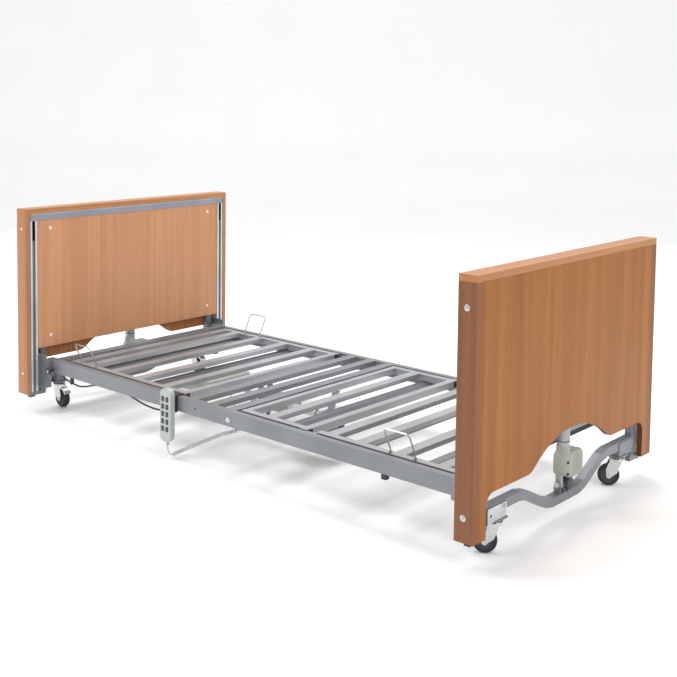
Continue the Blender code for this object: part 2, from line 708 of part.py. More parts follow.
def rod_fork(name, lever_x, y, z, inner_x, pin_high, pin_low):
    """A rod with a fork whose upright slot leaves room for the lever pin's small arc."""
    way = 1 if inner_x > lever_x else -1
    shaft = rod((lever_x + way * 0.030, y, z), (inner_x, y, z), DRIVE_ROD)
    x0, x1 = sorted((lever_x + way * 0.022, lever_x + way * 0.040))
    pieces = [box((x0, y - FORK_HALF, z - 0.012), (x1, y + FORK_HALF, z + 0.012)), shaft]
    x0, x1 = sorted((lever_x - way * 0.014, lever_x + way * 0.030))
    for cheek in (y - FORK_HALF, y + FORK_HALF - 0.004):
        pieces.append(box((x0, cheek, pin_low - 0.016), (x1, cheek + 0.004, pin_high + 0.016)))
    slot_low = (lever_x - FORK_SLOT / 2, y - 0.02, pin_low - 0.0065)
    slot_high = (lever_x + FORK_SLOT / 2, y + 0.02, pin_high + 0.0065)
    placed(cut(weld(*pieces), box(slot_low, slot_high)), name, "zinc")


def deck_actuators():
    """Two linear drives. Each housing is held to the platform and its rod pushes a lever."""
    lever_x = BACK_HINGE_X + BACK_LEVER * sin(BACK_LIFT / 2)
    pin_high, pin_low = HINGE_Z - BACK_LEVER * cos(BACK_LIFT / 2), HINGE_Z - BACK_LEVER
    z = (pin_high + pin_low) / 2
    deck_actuator("backrest_actuator", lever_x, BACK_Y, z, BACK_DRIVE_X, 0.150, 0.030)
    rod_fork("backrest_actuator_rod", lever_x, BACK_Y, z, BACK_DRIVE_X - 0.020, pin_high, pin_low)

    lever_x = THIGH_HINGE_X - KNEE_LEVER * sin(KNEE_LIFT / 2)
    pin_high, pin_low = HINGE_Z - KNEE_LEVER * cos(KNEE_LIFT / 2), HINGE_Z - KNEE_LEVER
    z = (pin_high + pin_low) / 2
    deck_actuator("knee_actuator", lever_x, KNEE_Y, z, KNEE_DRIVE_X, 0.130, 0.020)
    rod_fork("knee_actuator_rod", lever_x, KNEE_Y, z, KNEE_DRIVE_X + 0.020, pin_high, pin_low)


def control_box():
    body = plate(rounded(BOX_LOW, BOX_HIGH, 0.012, 3), "z", BOX_BOTTOM, BOX_TOP)
    face = BOX_HIGH[0]
    sockets = [rod((face - 0.0015, y, SOCKET_Z), (face + 0.011, y, SOCKET_Z), 0.009, 12) for y in SOCKETS_Y]
    strap = box((-0.515, -0.060, BOX_TOP - 0.004), (-0.485, 0.050, LOW_TUBE_TOP - 0.020 - GAP))
    placed(weld(body, strap, *sockets), "control_box", "grey_plastic")


def handset():
    """The case with a well for each button, and the buttons in two columns."""
    half = HANDSET_WIDTH / 2
    face, back = HANDSET_FACE_Y, HANDSET_FACE_Y + HANDSET_THICKNESS
    outline = rounded((HANDSET_X - half, HANDSET_BOTTOM), (HANDSET_X + half, HANDSET_TOP), 0.020, 5)
    body = plate(outline, "y", face, back)
    gland_x, gland_y = HANDSET_X + 0.002, back - 0.010
    gland_ends = (HANDSET_BOTTOM - 0.012, HANDSET_BOTTOM + 0.004)
    gland = rod((gland_x, gland_y, gland_ends[0]), (gland_x, gland_y, gland_ends[1]), 0.005, 12)
    wells = []
    for column, dx in BUTTON_COLUMNS.items():
        for row in range(BUTTON_ROWS):
            x, z = HANDSET_X + dx, HANDSET_TOP - BUTTON_TOP_GAP - BUTTON_PITCH * row
            low = Vector((x - BUTTON_SIZE[0] / 2, z - BUTTON_SIZE[1] / 2))
            high = Vector((x + BUTTON_SIZE[0] / 2, z + BUTTON_SIZE[1] / 2))
            room = Vector((0.0006, 0.0006))
            well = rounded(low - room, high + room, 0.003, 2)
            wells.append(plate(well, "y", face - 0.01, face + 0.0045))
            button = plate(rounded(low, high, 0.0026, 2), "y", face - 0.0016, face + 0.0026)
            placed(button, f"handset_button_{column}{row + 1}", "black_plastic", (x, face, z))
    placed(cut(weld(body, gland), *wells), "handset", "handset_plastic")


def handset_hook():
    """A black clip on the handset's back that hangs it over the near rail."""
    outer, inner = -RAIL_OUTER - GAP, -RAIL_OUTER + RAIL_WIDTH + 0.0012
    back = HANDSET_FACE_Y + HANDSET_THICKNESS
    x0, x1 = HANDSET_X - 0.020, HANDSET_X + 0.030
    top = DECK_TOP + 0.0045
    pad = box((x0, back + GAP, 0.163), (x1, outer, top))
    bridge = box((x0, outer - 0.002, DECK_TOP + GAP), (x1, inner + 0.0035, top))
    tip = box((x0, inner, 0.202), (x1, inner + 0.0035, DECK_TOP + 0.002))
    placed(weld(pad, bridge, tip), "handset_hook", "black_plastic")


CORD_RADIUS = 0.0026
COIL_RADIUS = 0.0070
LEAD_RADIUS = 0.0032
HANDSET_TAIL = [
    (-0.243, -0.472, 0.0447),
    (-0.243, -0.472, 0.0340),
    (-0.240, -0.472, 0.0230),
    (-0.233, -0.472, 0.0150),
    (-0.2246, -0.4715, 0.0130),
]
COIL_ROUTE = [
    (-0.2237, -0.4715, 0.0130),
    (-0.2150, -0.4710, 0.0155),
    (-0.1950, -0.4705, 0.0260),
    (-0.1000, -0.4680, 0.0760),
    (0.0000, -0.4640, 0.1265),
    (0.0350, -0.4560, 0.1420),
    (0.0560, -0.4400, 0.1490),
    (0.0650, -0.4150, 0.1500),
]
BOX_TAIL = [
    (0.0654, -0.4135, 0.1500),
    (0.0640, -0.3900, 0.1500),
    (0.0500, -0.3500, 0.1500),
    (0.0000, -0.3100, 0.1500),
    (-0.1200, -0.2500, 0.1480),
    (-0.2500, -0.1600, 0.1460),
    (-0.3400, -0.0700, 0.1420),
    (-0.3800, -0.0320, 0.1402),
    (-0.4037, -0.0280, 0.1400),
]
LIFT_LEAD = [
    (-1.0290, -0.0150, 0.1880),
    (-1.0100, -0.0350, 0.1850),
    (-0.9900, -0.1200, 0.1650),
    (-0.9850, -0.3000, 0.1500),
    (-0.9650, -0.4000, 0.1480),
    (-0.9200, -0.4300, 0.1500),
    (-0.8600, -0.4380, 0.1420),
    (-0.8000, -0.4330, 0.1380),
    (-0.7200, -0.4200, 0.1560),
    (-0.6300, -0.4150, 0.1590),
    (-0.5400, -0.4200, 0.1570),
    (-0.4700, -0.4330, 0.1530),
    (-0.4000, -0.4400, 0.1460),
    (-0.3300, -0.4330, 0.1420),
    (-0.2900, -0.4000, 0.1450),
    (-0.3000, -0.3000, 0.1480),
    (-0.3250, -0.1900, 0.1450),
    (-0.3550, -0.1100, 0.1410),
    (-0.3820, -0.0900, 0.1402),
    (-0.4037, -0.0880, 0.1400),
]


def cords():
    placed(wire(smooth_path(HANDSET_TAIL, 2), CORD_RADIUS), "handset_cord_tail", "cord_grey")
    placed(wire(smooth_path(COIL_ROUTE, 2), COIL_RADIUS), "handset_cord_coil", "cord_grey")
    placed(wire(smooth_path(BOX_TAIL, 4), CORD_RADIUS), "handset_cord_box_end", "cord_grey")
    placed(wire(smooth_path(LIFT_LEAD, 4), LEAD_RADIUS), "head_lift_lead", "cord_black")


# ---------------------------------------------------------------- the whole bed


for end_name, end_side in (("head", -1), ("foot", 1)):
    end_panels(end_name, end_side)
    lift_frame(end_name, end_side)
    base_frame(end_name, end_side)
    lift_motor(end_name, end_side)
    for side_name, side_way in (("near", -1), ("far", 1)):
        castor(f"{end_name}_{side_name}", end_side, side_way, HEADINGS[end_name], end_name == "head")
platform_halves()
moving_sections()
for retainer_name, (retainer_x, retainer_way) in RETAINERS.items():
    retainer(retainer_name, retainer_x, retainer_way)
deck_actuators()
control_box()
handset()
handset_hook()
cords()
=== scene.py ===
"""The looks of the adjustable hospital bed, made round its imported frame.

Metres, +X towards the foot end, +Y towards the far side, +Z up. side is 1 at the foot end and -1 at
the head end, way is 1 on the far side and -1 on the near side, where the handset hangs.
"""

import json
from math import cos, pi, radians, sin

import bmesh
import bpy
from mathutils import Matrix, Vector


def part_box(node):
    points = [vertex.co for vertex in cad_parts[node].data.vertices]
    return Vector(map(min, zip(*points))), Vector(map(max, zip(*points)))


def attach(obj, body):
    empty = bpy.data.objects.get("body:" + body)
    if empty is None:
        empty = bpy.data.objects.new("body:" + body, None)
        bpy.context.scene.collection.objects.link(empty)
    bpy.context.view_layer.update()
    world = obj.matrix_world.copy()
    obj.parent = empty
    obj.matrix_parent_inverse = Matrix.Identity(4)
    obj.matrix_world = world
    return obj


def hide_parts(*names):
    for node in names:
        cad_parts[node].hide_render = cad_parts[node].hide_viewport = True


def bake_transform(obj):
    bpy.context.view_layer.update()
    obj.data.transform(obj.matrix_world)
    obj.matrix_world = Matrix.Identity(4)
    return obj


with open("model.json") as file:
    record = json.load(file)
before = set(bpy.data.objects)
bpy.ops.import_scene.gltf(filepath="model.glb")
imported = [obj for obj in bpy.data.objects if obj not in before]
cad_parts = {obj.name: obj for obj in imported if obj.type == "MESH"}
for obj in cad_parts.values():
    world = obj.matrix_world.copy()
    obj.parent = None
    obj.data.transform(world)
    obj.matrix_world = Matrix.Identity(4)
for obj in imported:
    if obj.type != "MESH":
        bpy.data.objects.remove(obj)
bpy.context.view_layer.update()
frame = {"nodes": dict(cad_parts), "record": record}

LOOKS = bpy.data.collections.new("bed_looks")
bpy.context.scene.collection.children.link(LOOKS)
ENDS = (("head", -1), ("foot", 1))
SIDES = (("near", -1), ("far", 1))


# ---------------------------------------------------------------- camera, floor and light


CAMERA_PLACE = (2.7305, -2.9617, 1.3137)
CAMERA_YAW, CAMERA_PITCH, CAMERA_ROLL = 0.7209, -0.0723, 0.012  # radians
LENS, SENSOR_WIDTH = 59.04, 36.0  # millimetres
LENS_SHIFT = -0.2548


def make_camera():
    """A long lens from the foot end's near corner, a little above the bed."""
    yaw, pitch, roll = CAMERA_YAW, CAMERA_PITCH, CAMERA_ROLL
    forward = Vector((-sin(yaw) * cos(pitch), cos(yaw) * cos(pitch), sin(pitch)))
    level = Vector((cos(yaw), sin(yaw), 0))
    above = level.cross(forward)
    right = level * cos(roll) + above * sin(roll)
    up = above * cos(roll) - level * sin(roll)
    camera = bpy.data.objects.new("camera", bpy.data.cameras.new("camera"))
    camera.data.sensor_width = SENSOR_WIDTH
    camera.data.lens = LENS
    camera.data.shift_y = LENS_SHIFT
    turn = Matrix((right, up, -forward)).transposed().to_4x4()
    camera.matrix_world = Matrix.Translation(CAMERA_PLACE) @ turn
    LOOKS.objects.link(camera)
    bpy.context.scene.camera = camera


def area_light(name, place, target, size, power):
    """A round white lamp at a place, turned to its target."""
    light = bpy.data.lights.new(name, "AREA")
    light.shape = "DISK"
    light.size = size
    light.energy = power
    lamp = bpy.data.objects.new(name, light)
    lamp.location = place
    lamp.rotation_euler = (Vector(target) - Vector(place)).to_track_quat("-Z", "Y").to_euler()
    LOOKS.objects.link(lamp)


def make_studio():
    """A white world with three large lamps. The Standard view transform keeps white white."""
    bpy.context.scene.view_settings.view_transform = "Standard"
    area_light("key_light", (-2.6, -2.6, 4.2), (0, 0, 0.2), 2.2, 95)
    area_light("fill_light", (4.6, -0.2, 2.6), (0.6, 0, 0.4), 3.0, 40)
    area_light("top_light", (0.0, 1.0, 4.4), (0, 0, 0.2), 2.6, 105)
    world = bpy.data.worlds.new("studio")
    bpy.context.scene.world = world
    world.use_nodes = True
    background = world.node_tree.nodes["Background"]
    background.inputs["Color"].default_value = (1, 1, 1, 1)
    background.inputs["Strength"].default_value = 0.90


make_camera()
make_studio()


# ---------------------------------------------------------------- shader helpers


def put(tree, kind, inputs=None, **settings):
    """Adds a shader node. inputs maps a socket's name to a value or to another node's output."""
    node = tree.nodes.new("ShaderNode" + kind)
    for key, value in settings.items():
        setattr(node, key, value)
    for key, value in (inputs or {}).items():
        if isinstance(value, bpy.types.NodeSocket):
            tree.links.new(value, node.inputs[key])
        else:
            node.inputs[key].default_value = value
    return node


def ramp(tree, factor, *stops):
    """A colour ramp's output. Each stop is (position, grey or colour)."""
    node = put(tree, "ValToRGB", {"Fac": factor})
    elements = node.color_ramp.elements
    while len(elements) < len(stops):
        elements.new(0.5)
    for element, (position, colour) in zip(elements, stops):
        colour = (colour,) * 3 if isinstance(colour, (int, float)) else colour
        element.position = position
        element.color = (*colour, 1.0)
    return node.outputs["Color"]


def mix(tree, factor, first, second, blend="MIX"):
    """Mixes two colours, each a value or an output."""
    node = put(tree, "Mix", data_type="RGBA", blend_type=blend)
    for index, value in ((0, factor), (6, first), (7, second)):  # the factor's and the colours' sockets
        if isinstance(value, bpy.types.NodeSocket):
            tree.links.new(value, node.inputs[index])
        elif index:
            node.inputs[index].default_value = (*value, 1.0)
        else:
            node.inputs[index].default_value = value
    return node.outputs[2]


def noise(tree, scale, stretch=(1, 1, 1), detail=3.0, distortion=0.0, shift=(0, 0, 0)):
    """Noise in the piece's own coordinates. stretch scales each axis."""
    place = put(tree, "TexCoord").outputs["Object"]
    mapped = put(tree, "Mapping", {"Vector": place, "Scale": stretch, "Location": shift})
    inputs = {"Vector": mapped.outputs[0], "Scale": scale, "Detail": detail, "Distortion": distortion}
    return put(tree, "TexNoise", inputs).outputs["Fac"]


def start_material(name):
    """A new material, its node tree and its Principled shader."""
    material = bpy.data.materials.new(name)
    material.use_nodes = True
    tree = material.node_tree
    return material, tree, tree.nodes["Principled BSDF"]


def link(tree, output, shader, socket):
    tree.links.new(output, shader.inputs[socket])


def bump(tree, shader, height, strength, distance):
    """Relief on the surface. distance is its depth in metres."""
    inputs = {"Height": height, "Strength": strength, "Distance": distance}
    link(tree, put(tree, "Bump", inputs).outputs[0], shader, "Normal")


# ---------------------------------------------------------------- materials


def wood(name, grain, light, dark, shift=(0, 0, 0), face=0, back_shade=None):
    """Beech laminate: soft stripes, fine streaks and short dark flecks along the grain axis.

    shift moves the figure, so that boards differ. face is 1 or -1 on a board with that X side outwards:
    its cut edges and its back get the back_shade colour, painted shade: the look of these faces in shade.
    """
    material, tree, shader = start_material(name)

    def along(width, length):
        return tuple(length if axis == grain else width for axis in "xyz")

    bands = noise(tree, 9.0, along(2.4, 0.07), 3.0, 0.3, shift)
    streaks = noise(tree, 60.0, along(1.6, 0.03), 3.0, 0.3, shift)
    pores = noise(tree, 420.0, along(1.5, 0.055), 1.0, 0.0, shift)
    tone = mix(tree, ramp(tree, bands, (0.34, 0.0), (0.66, 1.0)), dark, light)
    streak_tone = ramp(tree, streaks, (0.30, 0.89), (0.70, 1.04))
    tone = mix(tree, 1.0, tone, streak_tone, "MULTIPLY")
    fleck = ramp(tree, pores, (0.30, 0.70), (0.42, 1.0))
    tone = mix(tree, 0.45, tone, fleck, "MULTIPLY")
    # Painted shade: faces not turned outwards along X take the back_shade colour.
    if face:
        normal = put(tree, "TexCoord").outputs["Normal"]
        along_x = put(tree, "SeparateXYZ", {0: normal}).outputs[0]
        outward = put(tree, "Math", {0: along_x, 1: face}, operation="MULTIPLY").outputs[0]
        darker = tuple(channel * 0.7 for channel in back_shade)
        back_shade_tone = mix(tree, ramp(tree, streaks, (0.3, 0.0), (0.7, 1.0)), darker, back_shade)
        tone = mix(tree, ramp(tree, outward, (0.45, 0.0), (0.55, 1.0)), back_shade_tone, tone)
    link(tree, tone, shader, "Base Color")
    link(tree, ramp(tree, streaks, (0.3, 0.36), (0.7, 0.46)), shader, "Roughness")
    shader.inputs["Specular IOR Level"].default_value = 0.25
    shader.inputs["Coat Weight"].default_value = 0.03
    shader.inputs["Coat Roughness"].default_value = 0.28
    bump(tree, shader, pores, 0.10, 0.0002)
    return material


def painted(name, colour, metallic, roughness):
    """Sprayed paint or powder coat: a slight orange peel, a little dust and tone change."""
    material, tree, shader = start_material(name)
    cloud = noise(tree, 6.0, detail=4.0)
    low = tuple(channel * 0.90 for channel in colour)
    high = tuple(min(channel * 1.08, 1.0) for channel in colour)
    tone = mix(tree, ramp(tree, cloud, (0.35, 0.0), (0.65, 1.0)), low, high)
    speck = noise(tree, 300.0, detail=2.0)
    tone = mix(tree, 0.35, tone, ramp(tree, speck, (0.28, 0.72), (0.40, 1.0)), "MULTIPLY")
    link(tree, tone, shader, "Base Color")
    shader.inputs["Metallic"].default_value = metallic
    peel = noise(tree, 900.0, detail=2.0)
    link(tree, ramp(tree, cloud, (0.3, roughness - 0.05), (0.7, roughness + 0.06)), shader, "Roughness")
    bump(tree, shader, peel, 0.18, 0.00015)
    return material


def metal(name, colour, roughness, streak=0.10):
    """Bare or plated metal with fine lines along X."""
    material, tree, shader = start_material(name)
    lines = noise(tree, 500.0, (0.03, 1.5, 1.5), 2.0)
    cloud = noise(tree, 14.0, detail=4.0)
    low = tuple(channel * (1.0 - streak) for channel in colour)
    tone = mix(tree, ramp(tree, cloud, (0.3, 0.0), (0.7, 1.0)), low, colour)
    link(tree, tone, shader, "Base Color")
    shader.inputs["Metallic"].default_value = 1.0
    link(tree, ramp(tree, lines, (0.3, roughness - 0.06), (0.7, roughness + 0.08)), shader, "Roughness")
    bump(tree, shader, lines, 0.15, 0.0001)
    return material


def moulded(name, colour, roughness, grain=1100.0, depth=0.25):
    """Moulded plastic with a fine spark-eroded texture."""
    material, tree, shader = start_material(name)
    place = put(tree, "TexCoord").outputs["Object"]
    cells = put(tree, "TexVoronoi", {"Vector": place, "Scale": grain}).outputs["Distance"]
    cloud = noise(tree, 20.0, detail=3.0)
    low = tuple(channel * 0.93 for channel in colour)
    tone = mix(tree, ramp(tree, cloud, (0.35, 0.0), (0.65, 1.0)), low, colour)
    link(tree, tone, shader, "Base Color")
    link(tree, ramp(tree, cloud, (0.3, roughness - 0.04), (0.7, roughness + 0.06)), shader, "Roughness")
    bump(tree, shader, cells, depth, 0.0001)
    return material


def rubber(name, colour, roughness=0.62):
    """Rubber or soft cable sheath, with a dry bloom."""
    material, tree, shader = start_material(name)
    bloom = noise(tree, 45.0, detail=5.0)
    high = tuple(min(channel * 1.5 + 0.01, 1.0) for channel in colour)
    tone = mix(tree, ramp(tree, bloom, (0.45, 0.0), (0.75, 1.0)), colour, high)
    link(tree, tone, shader, "Base Color")
    link(tree, ramp(tree, bloom, (0.3, roughness - 0.05), (0.7, roughness + 0.12)), shader, "Roughness")
    bump(tree, shader, noise(tree, 700.0, detail=2.0), 0.2, 0.00015)
    return material


def floor_material():
    """Matt white paper."""
    material, tree, shader = start_material("studio_floor")
    cloud = noise(tree, 1.5, detail=2.0)
    link(tree, ramp(tree, cloud, (0.3, 0.93), (0.7, 0.95)), shader, "Base Color")
    shader.inputs["Roughness"].default_value = 0.7
    return material


ORANGE_LIGHT, ORANGE_DARK = (0.360, 0.132, 0.022), (0.270, 0.089, 0.012)
PINK_LIGHT, PINK_DARK = (0.57, 0.285, 0.148), (0.51, 0.245, 0.122)
SIDE_LIGHT, SIDE_DARK = (0.46, 0.222, 0.112), (0.40, 0.185, 0.090)
# Painted shade: the foot side boards' tones are the side boards' beech made darker for the shade they stand
# in.
SHADED_SIDE_LIGHT, SHADED_SIDE_DARK = (0.260, 0.106, 0.047), (0.205, 0.080, 0.035)
CAP_LIGHT, CAP_DARK = (0.47, 0.215, 0.086), (0.39, 0.165, 0.062)
# Painted shade: the colours of the outer panels' cut edges and backs, set to how these faces look in shade.
HEAD_BACK_SHADE, FOOT_BACK_SHADE = (0.42, 0.175, 0.060), (0.17, 0.065, 0.025)
MATERIALS = {
    "beech_head_panel": wood(
        "beech_head_outside", "z", ORANGE_LIGHT, ORANGE_DARK, (0.7, 5.1, 0.2), face=-1, back_shade=HEAD_BACK_SHADE
    ),
    "beech_foot_panel": wood("beech_foot_outside", "z", ORANGE_LIGHT, ORANGE_DARK, face=1, back_shade=FOOT_BACK_SHADE),
    "beech_inner": wood("beech_inner_panel", "z", PINK_LIGHT, PINK_DARK, (2.3, 1.4, 0.9)),
    "beech_cap": wood("beech_cross_grain", "y", CAP_LIGHT, CAP_DARK, (3.1, 0.4, 1.7)),
    "beech_head_side": wood("beech_head_side", "z", SIDE_LIGHT, SIDE_DARK, (1.3, 2.4, 0.7)),
    # Painted shade: the foot side boards, darker than the head side boards.
    "beech_foot_side_shaded": wood("beech_foot_side_shaded", "z", SHADED_SIDE_LIGHT, SHADED_SIDE_DARK, (4.2, 0.6, 1.1)),
    "grey_steel": painted("grey_paint", (0.37, 0.385, 0.405), 0.45, 0.34),
    "rail_steel": painted("rail_grey_paint", (0.215, 0.225, 0.243), 0.40, 0.38),
    "bar_steel": painted("blue_grey_paint", (0.27, 0.29, 0.345), 0.35, 0.38),
    # Partly painted shade: the guide bars' grey, darkened for the shade in the channels' slots.
    "guide_steel_shaded": painted("guide_paint_shaded", (0.14, 0.165, 0.185), 0.35, 0.42),
    # Painted shadow: the dark grey over the head half's bracket plates, which stand in shade.
    "shadow_steel": painted("painted_shadow_grey", (0.13, 0.135, 0.15), 0.35, 0.42),
    "screw_cap": moulded("pale_screw_cap", (0.82, 0.66, 0.54), 0.5),
    "aluminium": painted("anodised_channel", (0.64, 0.66, 0.66), 0.35, 0.34),
    "zinc": metal("zinc_plate", (0.66, 0.69, 0.70), 0.28, 0.16),
    "wire_steel": metal("plated_wire", (0.50, 0.51, 0.52), 0.30),
    "grey_plastic": moulded("warm_grey_plastic", (0.36, 0.36, 0.32), 0.50),
    "handset_plastic": moulded("pale_green_plastic", (0.41, 0.46, 0.43), 0.45, 1500.0, 0.12),
    "black_plastic": moulded("black_plastic", (0.022, 0.022, 0.024), 0.42),
    "wheel_plastic": moulded("dark_wheel_plastic", (0.055, 0.060, 0.070), 0.45),
    "tyre_rubber": rubber("tyre_rubber", (0.010, 0.011, 0.013)),
    "cord_grey": rubber("grey_sheath", (0.40, 0.42, 0.41), 0.48),
    "cord_black": rubber("black_sheath", (0.016, 0.016, 0.017), 0.45),
    "marking": moulded("pale_marking", (0.20, 0.21, 0.21), 0.5),
}


# ---------------------------------------------------------------- mesh helpers


AXES = {
    "x": Matrix(((0, 0, 1), (1, 0, 0), (0, 1, 0))),  # outline in Y, Z
    "y": Matrix(((1, 0, 0), (0, 0, 1), (0, 1, 0))),  # outline in X, Z
    "z": Matrix(((1, 0, 0), (0, 1, 0), (0, 0, 1))),  # outline in X, Y
}


RIM_STEPS = 3


def ordered(first, second, sign):
    """Two distances from the middle, on the sign's side, in rising order."""
    return sorted((sign * first, sign * second))


def around(centre, half):
    """The low and high corners of a rectangle round its centre."""
    (u, v), (width, height) = centre, half
    return (u - width, v - height), (u + width, v + height)


def stack(bm, rings, closed=False):
    """Joins rings of points with faces. closed joins the last ring to the first; else both ends get caps."""
    made = [[bm.verts.new(point) for point in ring] for ring in rings]
    pairs = list(zip(made, made[1:])) + ([(made[-1], made[0])] if closed else [])
    for low, high in pairs:
        for k, corner in enumerate(low):
            j = (k + 1) % len(low)
            bm.faces.new((corner, low[j], high[j], high[k]))
    if not closed:
        bm.faces.new(made[0])
        bm.faces.new(made[-1])


def arc(centre, radius, start, end, steps):
    """Points on an arc between two angles in degrees."""
    angles = [radians(start + (end - start) * i / steps) for i in range(steps + 1)]
    return [(centre[0] + radius * cos(a), centre[1] + radius * sin(a)) for a in angles]


def rounded(low, high, radius, steps):
    """A rectangle with round corners."""
    (x0, y0), (x1, y1) = low, high
    corners = ((x1 - radius, y1 - radius, 0), (x0 + radius, y1 - radius, 90))
    corners += ((x0 + radius, y0 + radius, 180), (x1 - radius, y0 + radius, 270))
    return [p for x, y, a in corners for p in arc((x, y), radius, a, a + 90, steps)]


def pad(bm, low, high, radius, axis, ends, edge=0.001, steps=5):
    """A slab with round corners and round rims, between two values of its axis."""
    near, far = sorted(ends)
    angles = [pi / 2 * i / RIM_STEPS for i in range(RIM_STEPS + 1)]
    rim = [(edge * (1 - sin(a)), edge * (1 - cos(a))) for a in angles]
    levels = [(inset, near + rise) for inset, rise in rim]
    levels += [(inset, far - rise) for inset, rise in reversed(rim)]
    rings = []
    for inset, level in levels:
        lower = (low[0] + inset, low[1] + inset)
        upper = (high[0] - inset, high[1] - inset)
        outline = rounded(lower, upper, max(radius - inset, 0.0002), steps)
        rings.append([AXES[axis] @ Vector((u, v, level)) for u, v in outline])
    stack(bm, rings)


def turned(bm, profile, base, direction, steps=24, closed=False):
    """A turned solid. profile lists (radius, height) along the direction from the base."""
    turn = Vector(direction).to_track_quat("Z", "Y").to_matrix()
    angles = [2 * pi * i / steps for i in range(steps)]
    rings = [
        [Vector(base) + turn @ Vector((radius * cos(a), radius * sin(a), height)) for a in angles]
        for radius, height in profile
    ]
    stack(bm, rings, closed)


def tube(bm, points, radius, sides=10):
    """A round wire along points, its rings carried along without twist."""
    points = [Vector(p) for p in points]
    ahead = (points[1] - points[0]).normalized()
    across = ahead.orthogonal().normalized()
    rings = []
    for i, point in enumerate(points):
        before = points[max(i - 1, 0)]
        after = points[min(i + 1, len(points) - 1)]
        following = (after - before).normalized()
        across = ahead.rotation_difference(following) @ across
        ahead = following
        other = ahead.cross(across)
        angles = [2 * pi * k / sides for k in range(sides)]
        rings.append([point + (across * cos(a) + other * sin(a)) * radius for a in angles])
    stack(bm, rings)


def smooth_path(points, steps):
    """A Catmull-Rom curve through the points, with steps stretches between each two."""
    points = [Vector(p) for p in points]
    ends = [2 * points[0] - points[1], *points, 2 * points[-1] - points[-2]]
    path = []
    for a, b, c, d in zip(ends, ends[1:], ends[2:], ends[3:]):
        for i in range(steps):
            t = i / steps
            square = (2 * a - 5 * b + 4 * c - d) * t**2
            cube = (3 * b - a - 3 * c + d) * t**3
            path.append(0.5 * (2 * b + (c - a) * t + square + cube))
    return [*path, points[-1]]


def path_length(path):
    return sum((b - a).length for a, b in zip(path, path[1:]))


def cap_screw(bm, place, direction, radius, height):
    """A round head with a socket sunk into it."""
    profile = [(radius, 0.0), (radius, height * 0.6), (radius * 0.9, height * 0.9), (radius * 0.75, height)]
    profile += [(radius * 0.46, height), (radius * 0.42, height * 0.35)]
    turned(bm, profile, place, direction, 18)


def hex_bolt(bm, place, direction, radius, height):
    """A six-sided head on a washer."""
    direction = Vector(direction).normalized()
    rim, thickness = radius * 1.55, 0.0013
    turned(bm, [(rim, 0.0), (rim, 0.0010), (rim * 0.95, thickness)], place, direction, 24)
    profile = [(radius, 0.0), (radius, height * 0.8), (radius * 0.84, height)]
    turned(bm, profile, Vector(place) + direction * thickness, direction, 6)


def make(bm, name, material, body, angle=35):
    """Turns a finished bmesh into a piece. It rides on the body, where one is given."""
    bmesh.ops.recalc_face_normals(bm, faces=bm.faces)
    mesh = bpy.data.meshes.new(name)
    bm.to_mesh(mesh)
    bm.free()
    mesh.materials.append(MATERIALS[material])
    mesh.shade_smooth()
    mesh.set_sharp_from_angle(angle=radians(angle))
    piece = bpy.data.objects.new(name, mesh)
    LOOKS.objects.link(piece)
    if body:
        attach(piece, body)
    return piece


# ---------------------------------------------------------------- cords


HANDSET_TAIL = [
    (-0.243, -0.472, 0.0447),
    (-0.243, -0.472, 0.0340),
    (-0.240, -0.472, 0.0230),
    (-0.233, -0.472, 0.0150),
    (-0.2246, -0.4715, 0.0130),
]
COIL_ROUTE = [
    (-0.2237, -0.4715, 0.0130),
    (-0.2150, -0.4710, 0.0155),
    (-0.1950, -0.4705, 0.0260),
    (-0.1000, -0.4680, 0.0760),
    (0.0000, -0.4640, 0.1265),
    (0.0350, -0.4560, 0.1420),
    (0.0560, -0.4400, 0.1490),
    (0.0650, -0.4150, 0.1500),
]
BOX_TAIL = [
    (0.0654, -0.4135, 0.1500),
    (0.0640, -0.3900, 0.1500),
    (0.0500, -0.3500, 0.1500),
    (0.0000, -0.3100, 0.1500),
    (-0.1200, -0.2500, 0.1480),
    (-0.2500, -0.1600, 0.1460),
    (-0.3400, -0.0700, 0.1420),
    (-0.3800, -0.0320, 0.1402),
    (-0.4037, -0.0280, 0.1400),
]
LIFT_LEAD = [
    (-1.0290, -0.0150, 0.1880),
    (-1.0100, -0.0350, 0.1850),
    (-0.9900, -0.1200, 0.1650),
    (-0.9850, -0.3000, 0.1500),
    (-0.9650, -0.4000, 0.1480),
    (-0.9200, -0.4300, 0.1500),
    (-0.8600, -0.4380, 0.1420),
    (-0.8000, -0.4330, 0.1380),
    (-0.7200, -0.4200, 0.1560),
    (-0.6300, -0.4150, 0.1590),
    (-0.5400, -0.4200, 0.1570),
    (-0.4700, -0.4330, 0.1530),
    (-0.4000, -0.4400, 0.1460),
    (-0.3300, -0.4330, 0.1420),
    (-0.2900, -0.4000, 0.1450),
    (-0.3000, -0.3000, 0.1480),
    (-0.3250, -0.1900, 0.1450),
    (-0.3550, -0.1100, 0.1410),
    (-0.3820, -0.0900, 0.1402),
    (-0.4037, -0.0880, 0.1400),
]
CORD_RADIUS = 0.0021
COIL_RADIUS = 0.0070
LEAD_RADIUS = 0.0032
COIL_PITCH = 0.0056
SPINE_STEPS = 24
STEPS_PER_TURN = 14
LEAD_IN = 0.014  # over this much of each end the coil grows to its full radius
TURN_DELAY = 0.3  # the turns start after this part of the lead-in


def eased(value):
    """Goes smoothly from 0 to 1."""
    value = min(max(value, 0.0), 1.0)
    return value * value * (3 - 2 * value)


